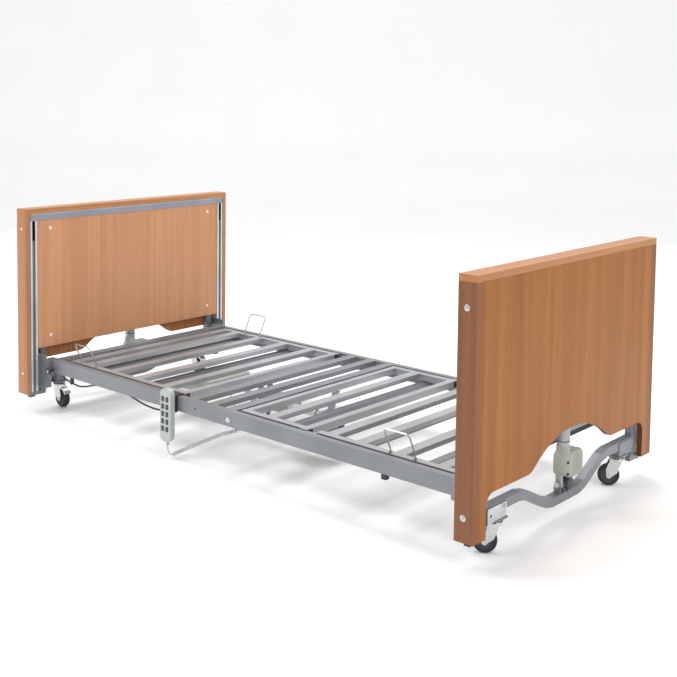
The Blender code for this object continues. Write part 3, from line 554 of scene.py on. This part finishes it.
def helix(route):
    """The curly stretch: turns round a smooth route, easing in and out over the lead-in at its ends."""
    spine = smooth_path(route, SPINE_STEPS)
    total = path_length(spine)
    turns = round(total / COIL_PITCH)
    count = turns * STEPS_PER_TURN
    reach = COIL_RADIUS - CORD_RADIUS
    points = []
    run, k, angle = 0.0, 0, 0.0
    for i in range(count + 1):
        wanted = total * i / count
        while k < len(spine) - 2 and run + (spine[k + 1] - spine[k]).length < wanted:
            run += (spine[k + 1] - spine[k]).length
            k += 1
        ahead = (spine[k + 1] - spine[k]).normalized()
        centre = spine[k] + ahead * (wanted - run)
        outwards = ahead.cross(Vector((0, 1, 0))).normalized()
        upwards = ahead.cross(outwards)
        from_end = min(wanted, total - wanted)
        angle += 2 * pi / STEPS_PER_TURN * eased(from_end / LEAD_IN - TURN_DELAY)
        offset = outwards * cos(angle) + upwards * sin(angle)
        points.append(centre + offset * reach * eased(from_end / LEAD_IN))
    return points


def handset_cord():
    """One cord: straight out of the handset, curled along the near rail, straight to the control box."""
    path = smooth_path(HANDSET_TAIL, 6)[:-1] + helix(COIL_ROUTE) + smooth_path(BOX_TAIL, 8)[1:]
    bm = bmesh.new()
    tube(bm, path, CORD_RADIUS, 8)
    cord = make(bm, "handset_cord", "cord_grey", None, 60)
    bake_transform(cord)
    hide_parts("handset_cord_tail", "handset_cord_coil", "handset_cord_box_end")


def lift_lead():
    """The black lead that the frame holds, from the head lift motor to the control box."""
    bm = bmesh.new()
    tube(bm, smooth_path(LIFT_LEAD, 8), LEAD_RADIUS, 10)
    lead = make(bm, "head_lift_motor_lead", "cord_black", None, 60)
    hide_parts("head_lift_lead")
    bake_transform(lead)


handset_cord()
lift_lead()


# ---------------------------------------------------------------- kept solids


BODY_OF = {node: body for body, nodes in frame["record"]["behaviour"]["bodies"].items() for node in nodes}
SLOT_OF = {entry["node"]: entry["material_slot"] for entry in frame["record"]["subparts"]}
EDGE_WIDTHS = {
    "beech": 0.0009,
    "grey_steel": 0.0016,
    "aluminium": 0.0004,
    "zinc": 0.0006,
    "black_plastic": 0.0009,
    "handset_plastic": 0.0016,
}
# The looks of nodes that differ from their slot, by a node's name or by the part after its first "_".
NODE_LOOKS = {
    "top_cap": "beech_cap",
    "inner_panel": "beech_inner",
    "head_outer_panel": "beech_head_panel",
    "foot_outer_panel": "beech_foot_panel",
    "head_side_board_near": "beech_head_side",
    "head_side_board_far": "beech_head_side",
    # The foot side boards get the darker copy of the side beech: painted shade.
    "foot_side_board_near": "beech_foot_side_shaded",
    "foot_side_board_far": "beech_foot_side_shaded",
    "top_bar": "bar_steel",
    "base_frame": "rail_steel",
    "head_half": "rail_steel",
    "foot_half": "rail_steel",
}


def finish_solids():
    """Every CAD solid gets its material, and those of the slots in EDGE_WIDTHS get softened edges."""
    for name, obj in frame["nodes"].items():
        slot = SLOT_OF[name]
        look = NODE_LOOKS.get(name, NODE_LOOKS.get(name.partition("_")[2], slot))
        obj.data.materials.clear()
        obj.data.materials.append(MATERIALS[look])
        if slot in EDGE_WIDTHS:
            edge = obj.modifiers.new("soft_edges", "BEVEL")
            edge.width = EDGE_WIDTHS[slot]
            edge.segments = 2
            edge.limit_method = "ANGLE"
            edge.angle_limit = radians(40)


finish_solids()


# ---------------------------------------------------------------- wooden ends


PANEL_CAP = [(0.0072, 0.0), (0.0070, 0.0012), (0.0050, 0.0022), (0.0020, 0.0026)]
PANEL_CAP_Y = 0.417
PANEL_CAP_HEIGHTS = (0.303, 0.735)
BOARD_CAP = [(0.0055, 0.0), (0.0053, 0.0008), (0.0035, 0.0014)]
BOARD_CUP = [(0.0095, 0.0), (0.0095, 0.0012), (0.0085, 0.0018)]
BOARD_SCREW_X = 1.058
BOARD_SCREW_HEIGHTS = {"head": (0.160, 0.737), "foot": (0.149, 0.726)}


def panel_caps(end, side):
    """Cap screws in the four corners of an inner panel."""
    low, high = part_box(f"{end}_inner_panel")
    face = min(abs(low[0]), abs(high[0])) * side
    bm = bmesh.new()
    for _, way in SIDES:
        for z in PANEL_CAP_HEIGHTS:
            turned(bm, PANEL_CAP, (face, way * PANEL_CAP_Y, z), (-side, 0, 0), 20)
    make(bm, f"{end}_panel_caps", "screw_cap", "bed_frame")


def board_screw_places(end, side):
    """Two places on the outer face of each side board, with the direction outwards."""
    for name, way in SIDES:
        low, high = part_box(f"{end}_side_board_{name}")
        y = high[1] if way > 0 else low[1]
        for z in BOARD_SCREW_HEIGHTS[end]:
            yield Vector((side * BOARD_SCREW_X, y, z)), Vector((0, way, 0))


def head_board_caps():
    """Small pale caps on the head end's side boards."""
    bm = bmesh.new()
    for place, outward in board_screw_places("head", -1):
        turned(bm, BOARD_CAP, place, outward, 20)
    make(bm, "head_side_caps", "screw_cap", "bed_frame")


def foot_board_screws():
    """Bright screws in cup washers on the foot end's side boards."""
    bm = bmesh.new()
    for place, outward in board_screw_places("foot", 1):
        turned(bm, BOARD_CUP, place, outward, 24)
        cap_screw(bm, place + outward * BOARD_CUP[-1][1], outward, 0.0062, 0.0038)
    make(bm, "foot_side_screws", "zinc", "bed_frame")


panel_caps("head", -1)
head_board_caps()
panel_caps("foot", 1)
foot_board_screws()


# ---------------------------------------------------------------- lift frames


GUIDE_X, GUIDE_Y = 1.03985, 0.494  # the middle of a guide bar
GUIDE_HALF = (0.0074, 0.0085)
GUIDE_LEVELS = (0.0835, 0.6890)
# The painted highlight strip along the top bar's upper edge.
HIGHLIGHT_LOW, HIGHLIGHT_HIGH = (-0.5085, 0.7895), (0.5085, 0.7952)
SLOT_BOTTOM, SLOT_TOP = 0.0870, 0.7680
SLOT_HALF = 0.0118
# The thickness of the black pads of painted shade in the channels.
SHADE_LINER = 0.0012
BAR_END_Y = (0.5091, 0.5113)


def guide_faces(end, side):
    """The guide bars' faces, seen in the slots of the channels, in a grey made darker for the slot's shade:
    partly painted shade.
    """
    bm = bmesh.new()
    for _, way in SIDES:
        pad(bm, *around((side * GUIDE_X, way * GUIDE_Y), GUIDE_HALF), 0.002, "z", GUIDE_LEVELS)
    make(bm, f"{end}_guide_faces", "guide_steel_shaded", f"{end}_base")


def top_bar_highlight(end, side):
    """A light grey strip along the upper edge of the top bar: a painted highlight."""
    bm = bmesh.new()
    pad(bm, HIGHLIGHT_LOW, HIGHLIGHT_HIGH, 0.0008, "x", ordered(1.0270, 1.0284, side), 0.0004)
    make(bm, f"{end}_top_bar_highlight", "grey_steel", "bed_frame")


def channel_painted_shade(end, side):
    """Black pads on the back and on the two walls inside each channel: painted shade in the slots."""
    bm = bmesh.new()
    x0, x1 = ordered(1.0317, 1.0650, side)
    for _, way in SIDES:
        y = way * GUIDE_Y
        back_low, back_high = (y - SLOT_HALF, SLOT_BOTTOM), (y + SLOT_HALF, SLOT_TOP)
        pad(bm, back_low, back_high, 0.001, "x", ordered(1.0650, 1.0668, side), 0.0002)
        for face in (-1, 1):
            span = (y + face * (SLOT_HALF - SHADE_LINER), y + face * SLOT_HALF)
            pad(bm, (x0, SLOT_BOTTOM), (x1, SLOT_TOP), 0.001, "y", span, 0.0002)
    make(bm, f"{end}_channel_painted_shade", "black_plastic", "bed_frame")


def top_bar_plugs(end, side):
    """Black plugs in the open ends of the top bar."""
    bm = bmesh.new()
    x0, x1 = ordered(1.0287, 1.0690, side)
    for _, way in SIDES:
        pad(bm, (x0, 0.7690), (x1, 0.7950), 0.003, "y", ordered(*BAR_END_Y, way), 0.0005)
    make(bm, f"{end}_top_bar_plugs", "black_plastic", "bed_frame")


for end_name, end_side in ENDS:
    guide_faces(end_name, end_side)
    top_bar_highlight(end_name, end_side)
    channel_painted_shade(end_name, end_side)
    top_bar_plugs(end_name, end_side)


# ---------------------------------------------------------------- castors


TYRE_HALF = [
    (0.0268, -0.0112),
    (0.0300, -0.0120),
    (0.0330, -0.0112),
    (0.0350, -0.0080),
    (0.0359, -0.0040),
]
TYRE_CROWN = (0.0360, 0.0)
DISC_HALF = [
    (0.0058, -0.0140),
    (0.0110, -0.0142),
    (0.0122, -0.0130),
    (0.0128, -0.0085),
    (0.0225, -0.0070),
    (0.0245, -0.0100),
    (0.0266, -0.0104),
]
RIB_COUNT, RIB_START, RIB_LENGTH = 5, 0.0128, 0.0100
RIB_RADIUS, RIB_OFFSET = 0.0014, 0.0080
RACE = [
    (0.0165, 0.0),
    (0.0245, 0.0),
    (0.0255, 0.0014),
    (0.0245, 0.0030),
    (0.0200, 0.0042),
    (0.0165, 0.0042),
]
RACE_DROP = 0.0085
BOLT_REACH = 0.0180  # from the middle of the axle to the fork's outer face
# A black disc laid in an open hole: painted shade.
HOLE_SHADE_DISC = [(0.0042, 0.0), (0.0042, 0.0006)]
FOOT_X, FOOT_HALF, FOOT_LEVELS = (1.0440, 1.0645), 0.0125, (0.0620, 0.0655)
PLATE_FACE, PLATE_THICKNESS = 1.0742, 0.0014
PLATE_LOW, PLATE_HIGH = (-0.436, 0.1050), (-0.340, 0.1495)


def both_halves(half, *middle):
    """A profile that is the same on both sides of its middle."""
    return [*half, *middle, *[(radius, -offset) for radius, offset in reversed(half)]]


def castor_axes(end, name):
    """The stem, the axle and the unit vector along the axle of one castor, from its joints."""
    joints = {joint["name"]: joint for joint in frame["record"]["behaviour"]["joints"]}
    swivel = joints[f"{end}_{name}_castor_swivel"]
    spin = joints[f"{end}_{name}_wheel_spin"]
    return Vector(swivel["pos_m"]), Vector(spin["pos_m"]), Vector(spin["axis"]).normalized()


def castor_wheel(end, name):
    """A rubber tyre on a moulded wheel with a dished face, ribs and a bore."""
    _, axle, along = castor_axes(end, name)
    body = f"{end}_{name}_wheel"
    bm = bmesh.new()
    turned(bm, both_halves(TYRE_HALF, TYRE_CROWN), axle, along, 64, closed=True)
    tyre = make(bm, f"{end}_{name}_tyre", "tyre_rubber", body)
    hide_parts(f"{end}_{name}_castor_wheel")

    bm = bmesh.new()
    turned(bm, both_halves(DISC_HALF), axle, along, 48, closed=True)
    make(bm, f"{end}_{name}_wheel_disc", "wheel_plastic", body)

    bm = bmesh.new()
    upwards = Vector((0, 0, 1))
    level = along.cross(upwards).normalized()
    for face in (-1, 1):
        for k in range(RIB_COUNT):
            angle = 2 * pi * k / RIB_COUNT
            spoke = level * cos(angle) + upwards * sin(angle)
            start = axle + spoke * RIB_START + along * face * RIB_OFFSET
            tube(bm, [start, start + spoke * RIB_LENGTH], RIB_RADIUS, 8)
    make(bm, f"{end}_{name}_wheel_ribs", "wheel_plastic", body)


def castor_hardware(end, name):
    """The bolt heads at both ends of the axle, and the swivel's ball race."""
    stem, axle, along = castor_axes(end, name)
    body = f"{end}_{name}_castor"
    bm = bmesh.new()
    for face in (-1, 1):
        hex_bolt(bm, axle + along * face * BOLT_REACH, along * face, 0.0058, 0.0045)
    make(bm, f"{end}_{name}_axle_bolt", "zinc", body)

    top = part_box(f"{end}_{name}_castor_fork")[1][2]
    bm = bmesh.new()
    turned(bm, RACE, (stem.x, stem.y, top - RACE_DROP), (0, 0, 1), 40, closed=True)
    make(bm, f"{end}_{name}_ball_race", "zinc", body)


def base_hardware(end, side):
    """A bolted zinc plate at the near castor, with one open hole drawn as a black disc of painted shade, and
    a black foot under each guide bar.
    """
    body = f"{end}_base"
    outward = (side, 0, 0)
    plates, bolts, feet_and_hole_shade = bmesh.new(), bmesh.new(), bmesh.new()
    x0, x1 = ordered(*FOOT_X, side)
    for _, way in SIDES:
        y = way * GUIDE_Y
        pad(feet_and_hole_shade, (x0, y - FOOT_HALF), (x1, y + FOOT_HALF), 0.003, "z", FOOT_LEVELS, 0.0008)
    front = PLATE_FACE + PLATE_THICKNESS
    pad(plates, PLATE_LOW, PLATE_HIGH, 0.004, "x", ordered(PLATE_FACE, front, side), 0.0005)
    hex_bolt(bolts, (side * front, PLATE_HIGH[0] - 0.013, 0.1400), outward, 0.0062, 0.0048)
    # The open hole's black disc is painted shade.
    hole = (side * (front - 0.0001), PLATE_LOW[0] + 0.016, 0.1270)
    turned(feet_and_hole_shade, HOLE_SHADE_DISC, hole, outward, 20)
    make(plates, f"{end}_castor_plates", "zinc", body)
    make(bolts, f"{end}_castor_plate_bolts", "zinc", body)
    make(feet_and_hole_shade, f"{end}_guide_feet_and_hole_shade", "black_plastic", body)


CASTORS = [(end_name, side_name) for end_name, _ in ENDS for side_name, _ in SIDES]
for castor in CASTORS:
    castor_wheel(*castor)
for castor in CASTORS:
    castor_hardware(*castor)
for end_name, end_side in ENDS:
    base_hardware(end_name, end_side)


# ---------------------------------------------------------------- lift motors


COLUMN_X = 1.0575  # the axis of the lift column, from the middle of the bed
SHELL_X = (1.0385, 1.0765)
SHELL_LOW, SHELL_HIGH = (-0.004, 0.120), (0.0945, 0.203)
SEAM_LOW, SEAM_HIGH = (-0.003, 0.121), (0.0935, 0.202)
HALF_SEAM = 0.0003
FIN_COUNT, FIN_START, FIN_PITCH, FIN_WIDTH = 5, 0.040, 0.0085, 0.0022
TONGUE_Y, TONGUE_LEVELS = (-0.0265, -0.0105), (0.098, 0.141)
GEARBOX_BOTTOM = 0.137
GEARBOX = [
    (0.0135, 0.0),
    (0.0250, 0.0),
    (0.0275, 0.0015),
    (0.0285, 0.0050),
    (0.0285, 0.0550),
    (0.0275, 0.0600),
    (0.0250, 0.0640),
    (0.0222, 0.0665),
    (0.0215, 0.0700),
    (0.0215, 0.0850),
    (0.0205, 0.0868),
    (0.0135, 0.0868),
]
COLUMN_BOTTOM = 0.220
COLUMN = [(0.0135, 0.0), (0.0200, 0.0), (0.0200, 0.4930), (0.0190, 0.4950), (0.0135, 0.4950)]
COLLAR_HEIGHT = 0.2385
COLLAR = [(0.0202, 0.0), (0.0213, 0.0004), (0.0213, 0.0024), (0.0202, 0.0028)]
DRUM_Y, DRUM_HEIGHT = 0.014, 0.1055
DRUM_HALF = [(0.0165, -0.0220), (0.0185, -0.0212), (0.0190, -0.0200)]
MOTOR_SCREW = [(0.0046, 0.0), (0.0046, 0.0016), (0.0038, 0.0022)]
MOTOR_SCREW_HEIGHTS, MOTOR_SCREW_TURN = (0.142, 0.178), 26
PIN_HEIGHT = 0.106
RELIEF = [(0.0062, 0.0), (0.0062, 0.0020), (0.0046, 0.0040), (0.0040, 0.0070)]


def motor_housing(end, side):
    """The round gearbox, the motor's two shells beside it with a seam and fins, and the tongue below."""
    x = side * COLUMN_X
    bm = bmesh.new()
    turned(bm, GEARBOX, (x, 0, GEARBOX_BOTTOM), (0, 0, 1), 64, closed=True)
    x0, x1 = ordered(*SHELL_X, side)
    middle = (x0 + x1) / 2
    pad(bm, SHELL_LOW, SHELL_HIGH, 0.024, "x", (x0, middle - HALF_SEAM), 0.006, 8)
    pad(bm, SHELL_LOW, SHELL_HIGH, 0.024, "x", (middle + HALF_SEAM, x1), 0.006, 8)
    pad(bm, SEAM_LOW, SEAM_HIGH, 0.023, "x", (middle - 0.004, middle + 0.004), 0.001, 8)
    for k in range(FIN_COUNT):
        y = FIN_START + FIN_PITCH * k
        rise = 0.0105 if k < FIN_COUNT - 1 else 0.018  # the last fin stops short of the round corners
        low, high = (y, SHELL_LOW[1] + rise), (y + FIN_WIDTH, SHELL_HIGH[1] - rise)
        pad(bm, low, high, 0.001, "x", ordered(1.0755, 1.0772, side), 0.0004)
    pad(bm, (x - 0.010, TONGUE_Y[0]), (x + 0.010, TONGUE_Y[1]), 0.003, "z", TONGUE_LEVELS)
    housing = make(bm, f"{end}_gear_housing", "grey_plastic", f"{end}_base")
    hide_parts(f"{end}_lift_motor")


def lift_column(end, side):
    """The outer column, and the dark collar and drum at its foot."""
    x = side * COLUMN_X
    bm = bmesh.new()
    turned(bm, COLUMN, (x, 0, COLUMN_BOTTOM), (0, 0, 1), 48, closed=True)
    make(bm, f"{end}_outer_column", "grey_steel", f"{end}_base")
    bm = bmesh.new()
    turned(bm, COLLAR, (x, 0, COLLAR_HEIGHT), (0, 0, 1), 48, closed=True)
    turned(bm, both_halves(DRUM_HALF), (x, DRUM_Y, DRUM_HEIGHT), (1, 0, 0), 40)
    make(bm, f"{end}_motor_drum", "wheel_plastic", f"{end}_base")


def motor_fixings(end, side):
    """Two screws in the gearbox, the clevis pin, and the lead's relief on the head motor."""
    x = side * COLUMN_X
    turn = radians(-MOTOR_SCREW_TURN * side)
    outward = Vector((side * cos(turn), side * sin(turn), 0))
    bm = bmesh.new()
    for z in MOTOR_SCREW_HEIGHTS:
        turned(bm, MOTOR_SCREW, Vector((x, 0, z)) + outward * 0.0280, outward, 20)
    make(bm, f"{end}_motor_screws", "black_plastic", f"{end}_base")

    bm = bmesh.new()
    tube(bm, [(x, -0.033, PIN_HEIGHT), (x, -0.004, PIN_HEIGHT)], 0.004, 16)
    hex_bolt(bm, (x, -0.030, PIN_HEIGHT), (0, -1, 0), 0.0065, 0.005)
    make(bm, f"{end}_clevis_pin", "zinc", f"{end}_base")

    if end == "head":
        bm = bmesh.new()
        first = Vector(LIFT_LEAD[0])
        outward = (first - Vector((x, 0, first.z))).normalized()
        turned(bm, RELIEF, Vector((x, 0, first.z)) + outward * 0.0278, outward, 20)
        make(bm, "head_lead_relief", "black_plastic", "head_base")


for end_name, end_side in ENDS:
    motor_housing(end_name, end_side)
    lift_column(end_name, end_side)
    motor_fixings(end_name, end_side)


# ---------------------------------------------------------------- platform fittings


RAIL_PIN = [(0.0045, -0.0020), (0.0045, 0.0180), (0.0036, 0.0200)]
RAIL_MIDDLE = 0.4375
STOP_X, STOP_LEVELS = (0.703, 0.722), (0.148, 0.1662)
HOOK_FACE = 0.4785
KNOB = [
    (0.0040, 0.0),
    (0.0040, 0.0140),
    (0.0090, 0.0150),
    (0.0098, 0.0170),
    (0.0098, 0.0250),
    (0.0085, 0.0275),
]
KNOB_END = [(0.0052, 0.0), (0.0052, 0.0020), (0.0040, 0.0030)]
SECTION_ENDS = {"backrest": (-0.900, -0.222), "thigh": (0.066, 0.372), "calf": (0.412, 0.945)}
SECTION_HEIGHT = 0.2055  # the middle of the sections' side tubes, and their hinges
TUBE_Y, TUBE_HALF = 0.400, 0.0115
HINGE_X = (-0.205, 0.080)
KNEE_X = 0.395
RETAINERS = ("backrest_retainer_near", "backrest_retainer_far", "calf_retainer_near", "calf_retainer_far")
RETAINER_WIRE = 0.0026
BOSS = [(0.0027, 0.0), (0.0052, 0.0), (0.0050, 0.0060), (0.0042, 0.0070), (0.0027, 0.0070)]
CLIP_RING = [
    (0.0034, 0.0),
    (0.0058, 0.0),
    (0.0062, 0.0012),
    (0.0062, 0.0090),
    (0.0058, 0.0102),
    (0.0034, 0.0102),
]


def rail_fittings():
    """Bolts and pins at the joint of the two halves, with black stops on both rails and a black disc in a
    small hole in each rail: painted shade in the holes.
    """
    bolts, plugs = bmesh.new(), bmesh.new()
    outside = abs(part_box("platform_head_half")[0][1] + 0.0285)
    for _, way in SIDES:
        y, middle = way * outside, way * RAIL_MIDDLE
        hex_bolt(bolts, (0.0427, y, 0.188), (0, way, 0), 0.0060, 0.0045)
        # A black disc in the rail's small hole: painted shade.
        turned(plugs, HOLE_SHADE_DISC, (-0.124, y, 0.192), (0, way, 0), 16)
        turned(bolts, RAIL_PIN, (0.0576, middle, 0.166), (0, 0, -1), 16)
        low, high = (STOP_X[0], middle - 0.0100), (STOP_X[1], middle + 0.0100)
        pad(plugs, low, high, 0.003, "z", STOP_LEVELS)
    make(bolts, "rail_bolts", "zinc", "bed_frame")
    make(plugs, "rail_stops_and_hole_shade", "black_plastic", "bed_frame")


def cross_slat_shade():
    """A black pad on the outward face of the foot half's last slat: painted shade on that shaded face."""
    bm = bmesh.new()
    pad(bm, (-0.420, 0.2028), (0.420, 0.2172), 0.002, "x", (0.9952, 0.9964), 0.0004)
    make(bm, "foot_slat_shade", "black_plastic", "bed_frame")


def lead_clips():
    """A bright and a black clip that hold the head lift lead under the near rail."""
    bm = bmesh.new()
    ahead = Vector((0.045, -0.030, 0.002)).normalized()
    turned(bm, CLIP_RING, (-0.9470, -0.4135, 0.1487), ahead, 24, closed=True)
    make(bm, "lead_clip_bright", "zinc", "bed_frame")
    bm = bmesh.new()
    pad(bm, (-0.8660, -0.4440), (-0.8540, -0.4310), 0.002, "z", (0.1370, 0.1656), 0.0006)
    make(bm, "lead_clip_black", "black_plastic", "bed_frame")


def corner_fittings():
    """A thumb-screw at each corner of the head half, and a thin dark grey plate over the bracket there:
    painted shadow.
    """
    screws, knobs, plates = bmesh.new(), bmesh.new(), bmesh.new()
    for _, way in SIDES:
        outward = Vector((0, way, 0))
        span = ordered(HOOK_FACE + 0.0001, HOOK_FACE + 0.0016, way)
        pad(plates, (-1.0260, 0.1060), (-0.9825, 0.2340), 0.004, "y", span, 0.0005)
        centre = Vector((-0.9650, way * 0.4502, 0.176))
        turned(knobs, KNOB, centre, outward, 12)
        turned(screws, KNOB_END, centre + outward * 0.0270, outward, 16)
    make(plates, "head_bracket_shadow_plates", "shadow_steel", "bed_frame")
    make(screws, "head_thumb_screw_ends", "zinc", "bed_frame")
    make(knobs, "head_thumb_screws", "black_plastic", "bed_frame")


def section_plugs(body, x0, x1):
    """Black plugs in the open ends of a section's side tubes."""
    bm = bmesh.new()
    for _, way in SIDES:
        low, high = around((way * TUBE_Y, SECTION_HEIGHT), (TUBE_HALF, 0.0110))
        for x, out in ((x0, -1), (x1, 1)):
            pad(bm, low, high, 0.003, "x", (x + out * 0.0002, x + out * 0.0030), 0.0008)
    make(bm, f"{body}_tube_plugs", "black_plastic", body)


def section_gap_shade(body, x0, x1):
    """A black strip along the outer face of a section's side tubes: painted shade in the gap between the
    rail and the tube.
    """
    bm = bmesh.new()
    for _, way in SIDES:
        low, high = (x0 + 0.012, 0.1945), (x1 - 0.012, 0.2150)
        pad(bm, low, high, 0.001, "y", ordered(0.4127, 0.4137, way), 0.0003)
    make(bm, f"{body}_gap_shade_strips", "black_plastic", body)


def section_hinges():
    """The pins of the backrest and thigh hinges, and the plates and pins of the knee."""
    pins, plates = bmesh.new(), bmesh.new()
    for _, way in SIDES:
        for x in HINGE_X:
            tube(pins, [(x, way * y, SECTION_HEIGHT) for y in (0.4130, 0.4255)], 0.0050, 20)
        pad(plates, (0.335, 0.196), (0.403, 0.2145), 0.007, "y", ordered(0.4135, 0.4165, way), 0.0005)
        tube(plates, [(KNEE_X, way * y, SECTION_HEIGHT) for y in (0.3800, 0.4190)], 0.0045, 16)
    make(pins, "section_hinge_pins", "zinc", "bed_frame")
    make(plates, "knee_hinge_plates", "zinc", "thigh")


def retainer_feet():
    """A small welded boss at each foot of the wire loops."""
    for name in RETAINERS:
        low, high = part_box(name)
        inner = low[1] + RETAINER_WIRE if "far" in name else high[1] - RETAINER_WIRE
        bm = bmesh.new()
        for x in (low[0] + RETAINER_WIRE, high[0] - RETAINER_WIRE):
            turned(bm, BOSS, (x, inner, low[2]), (0, 0, 1), 20, closed=True)
        make(bm, f"{name}_bosses", "wire_steel", BODY_OF[name])


rail_fittings()
cross_slat_shade()
lead_clips()
corner_fittings()
for section, section_ends in SECTION_ENDS.items():
    section_plugs(section, *section_ends)
    section_gap_shade(section, *section_ends)
section_hinges()
retainer_feet()


# ---------------------------------------------------------------- drives, control box and handset


DRIVE_HALF = 0.0225
CAN_END = [(0.0180, 0.0), (0.0235, 0.0008), (0.0258, 0.0035), (0.0260, 0.0060)]
CAN_OFFSET = 0.040
BOX_LOW, BOX_HIGH = (-0.590, -0.115), (-0.415, 0.105)
LINE_LOW, LINE_HIGH = (-0.588, -0.113), (-0.417, 0.103)
SOCKET_X, SOCKET_HEIGHT, SOCKET_ROW = -0.4165, 0.140, (-0.088, -0.058, -0.028, 0.002)
PLUG = [(0.0088, 0.0), (0.0090, 0.0060), (0.0080, 0.0085), (0.0050, 0.0100), (0.0036, 0.0124)]
MARK_HALF, MARK_FOOT, MARK_TIP = 0.0026, 0.0020, 0.0026


def deck_drive(name, y, far_x, lever_x, z, reach):
    """A drive's housing in two shells, its motor can, the inner tube's sleeve and the screws.

    The housing hangs at far_x and reaches towards the lever at lever_x.
    """
    way = 1 if far_x > lever_x else -1
    x0, x1 = sorted((far_x - way * reach, far_x + way * 0.020))
    bm = bmesh.new()
    for face in (-1, 1):
        span = ordered(HALF_SEAM, DRIVE_HALF, face)
        pad(bm, (x0, z - 0.030), (x1, z + 0.034), 0.012, "y", (y + span[0], y + span[1]), 0.004)
    housing = make(bm, f"{name}_housing", "grey_plastic", "bed_frame")
    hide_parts(name)

    bm = bmesh.new()
    length = reach + 0.005 - (0.030 if way > 0 else 0.020)
    profile = [*CAN_END, *[(radius, length - height) for radius, height in reversed(CAN_END)]]
    start = (far_x - way * (reach + 0.005), y - way * CAN_OFFSET, z + 0.002)
    turned(bm, profile, start, (way, 0, 0), 36)
    make(bm, f"{name}_motor_can", "grey_plastic", "bed_frame")

    bm = bmesh.new()
    first, last = lever_x + way * 0.060, far_x - way * (reach - 0.010)
    span = abs(last - first)
    sleeve = [(0.0105, 0.0), (0.0140, 0.0), (0.0155, 0.0015), (0.0155, span), (0.0105, span)]
    turned(bm, sleeve, (first, y, z), (way, 0, 0), 32, closed=True)
    make(bm, f"{name}_sleeve", "aluminium", "bed_frame")

    bm = bmesh.new()
    for dx in (0.014, reach - 0.020):
        for dz in (-0.022, 0.026):
            cap_screw(bm, (far_x - way * dx, y - DRIVE_HALF + 0.0001, z + dz), (0, -1, 0), 0.0035, 0.0014)
    make(bm, f"{name}_screws", "black_plastic", "bed_frame")


def control_box():
    """A shallow case in two halves with a dark line between them, a rib on top and a row of plugs."""
    bm = bmesh.new()
    pad(bm, BOX_LOW, BOX_HIGH, 0.014, "z", (0.112, 0.1385), 0.004)
    pad(bm, LINE_LOW, LINE_HIGH, 0.013, "z", (0.136, 0.141))
    pad(bm, BOX_LOW, BOX_HIGH, 0.014, "z", (0.1395, 0.164), 0.004)
    pad(bm, (-0.515, -0.060), (-0.485, 0.050), 0.004, "z", (0.160, 0.1690))
    case = make(bm, "control_box_case", "grey_plastic", "bed_frame")
    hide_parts("control_box")
    bm = bmesh.new()
    for y in SOCKET_ROW:
        turned(bm, PLUG, (SOCKET_X, y, SOCKET_HEIGHT), (1, 0, 0), 24)
    make(bm, "control_box_plugs", "black_plastic", "bed_frame")


def button_marks():
    """Raised arrows on the handset's keys: up in one column, down in the other."""
    for column, way in (("a", 1), ("b", -1)):
        for row in range(1, 6):
            low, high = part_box(f"handset_button_{column}{row}")
            x, z, face = (low[0] + high[0]) / 2, (low[2] + high[2]) / 2, low[1]
            foot, tip = z - way * MARK_FOOT, z + way * MARK_TIP
            outline = [(x - MARK_HALF, foot), (x + MARK_HALF, foot), (x, tip)]
            rings = [[Vector((u, y, v)) for u, v in outline] for y in (face - 0.0002, face + 0.0003)]
            bm = bmesh.new()
            stack(bm, rings)
            make(bm, f"handset_mark_{column}{row}", "marking", f"button_{column}{row}")


deck_drive("backrest_actuator", -0.115, 0.235, -0.13044, 0.08725, 0.150)
deck_drive("knee_actuator", 0.060, -0.290, 0.04392, 0.08828, 0.130)
control_box()
button_marks()


# ---------------------------------------------------------------- floor and end


FLOOR_PROFILE = [(-9.0, 0.0), (6.0, 0.0), (7.0, 0.1), (7.8, 0.5), (8.2, 1.2), (8.3, 6.0)]
FLOOR_HALF = 12.0
FLOOR_GAP = 0.0002


def make_floor():
    """A wide pale floor that curves up far behind the bed."""
    bm = bmesh.new()
    turn = Matrix.Rotation(radians(41), 4, "Z")
    rows = [
        [bm.verts.new(turn @ Vector((x, y, z - FLOOR_GAP))) for x in (-FLOOR_HALF, FLOOR_HALF)]
        for y, z in FLOOR_PROFILE
    ]
    for near, far in zip(rows, rows[1:]):
        bm.faces.new((near[0], near[1], far[1], far[0]))
    mesh = bpy.data.meshes.new("studio_floor")
    bm.to_mesh(mesh)
    bm.free()
    mesh.materials.append(floor_material())
    mesh.shade_smooth()
    floor = bpy.data.objects.new("studio_floor", mesh)
    LOOKS.objects.link(floor)


make_floor()
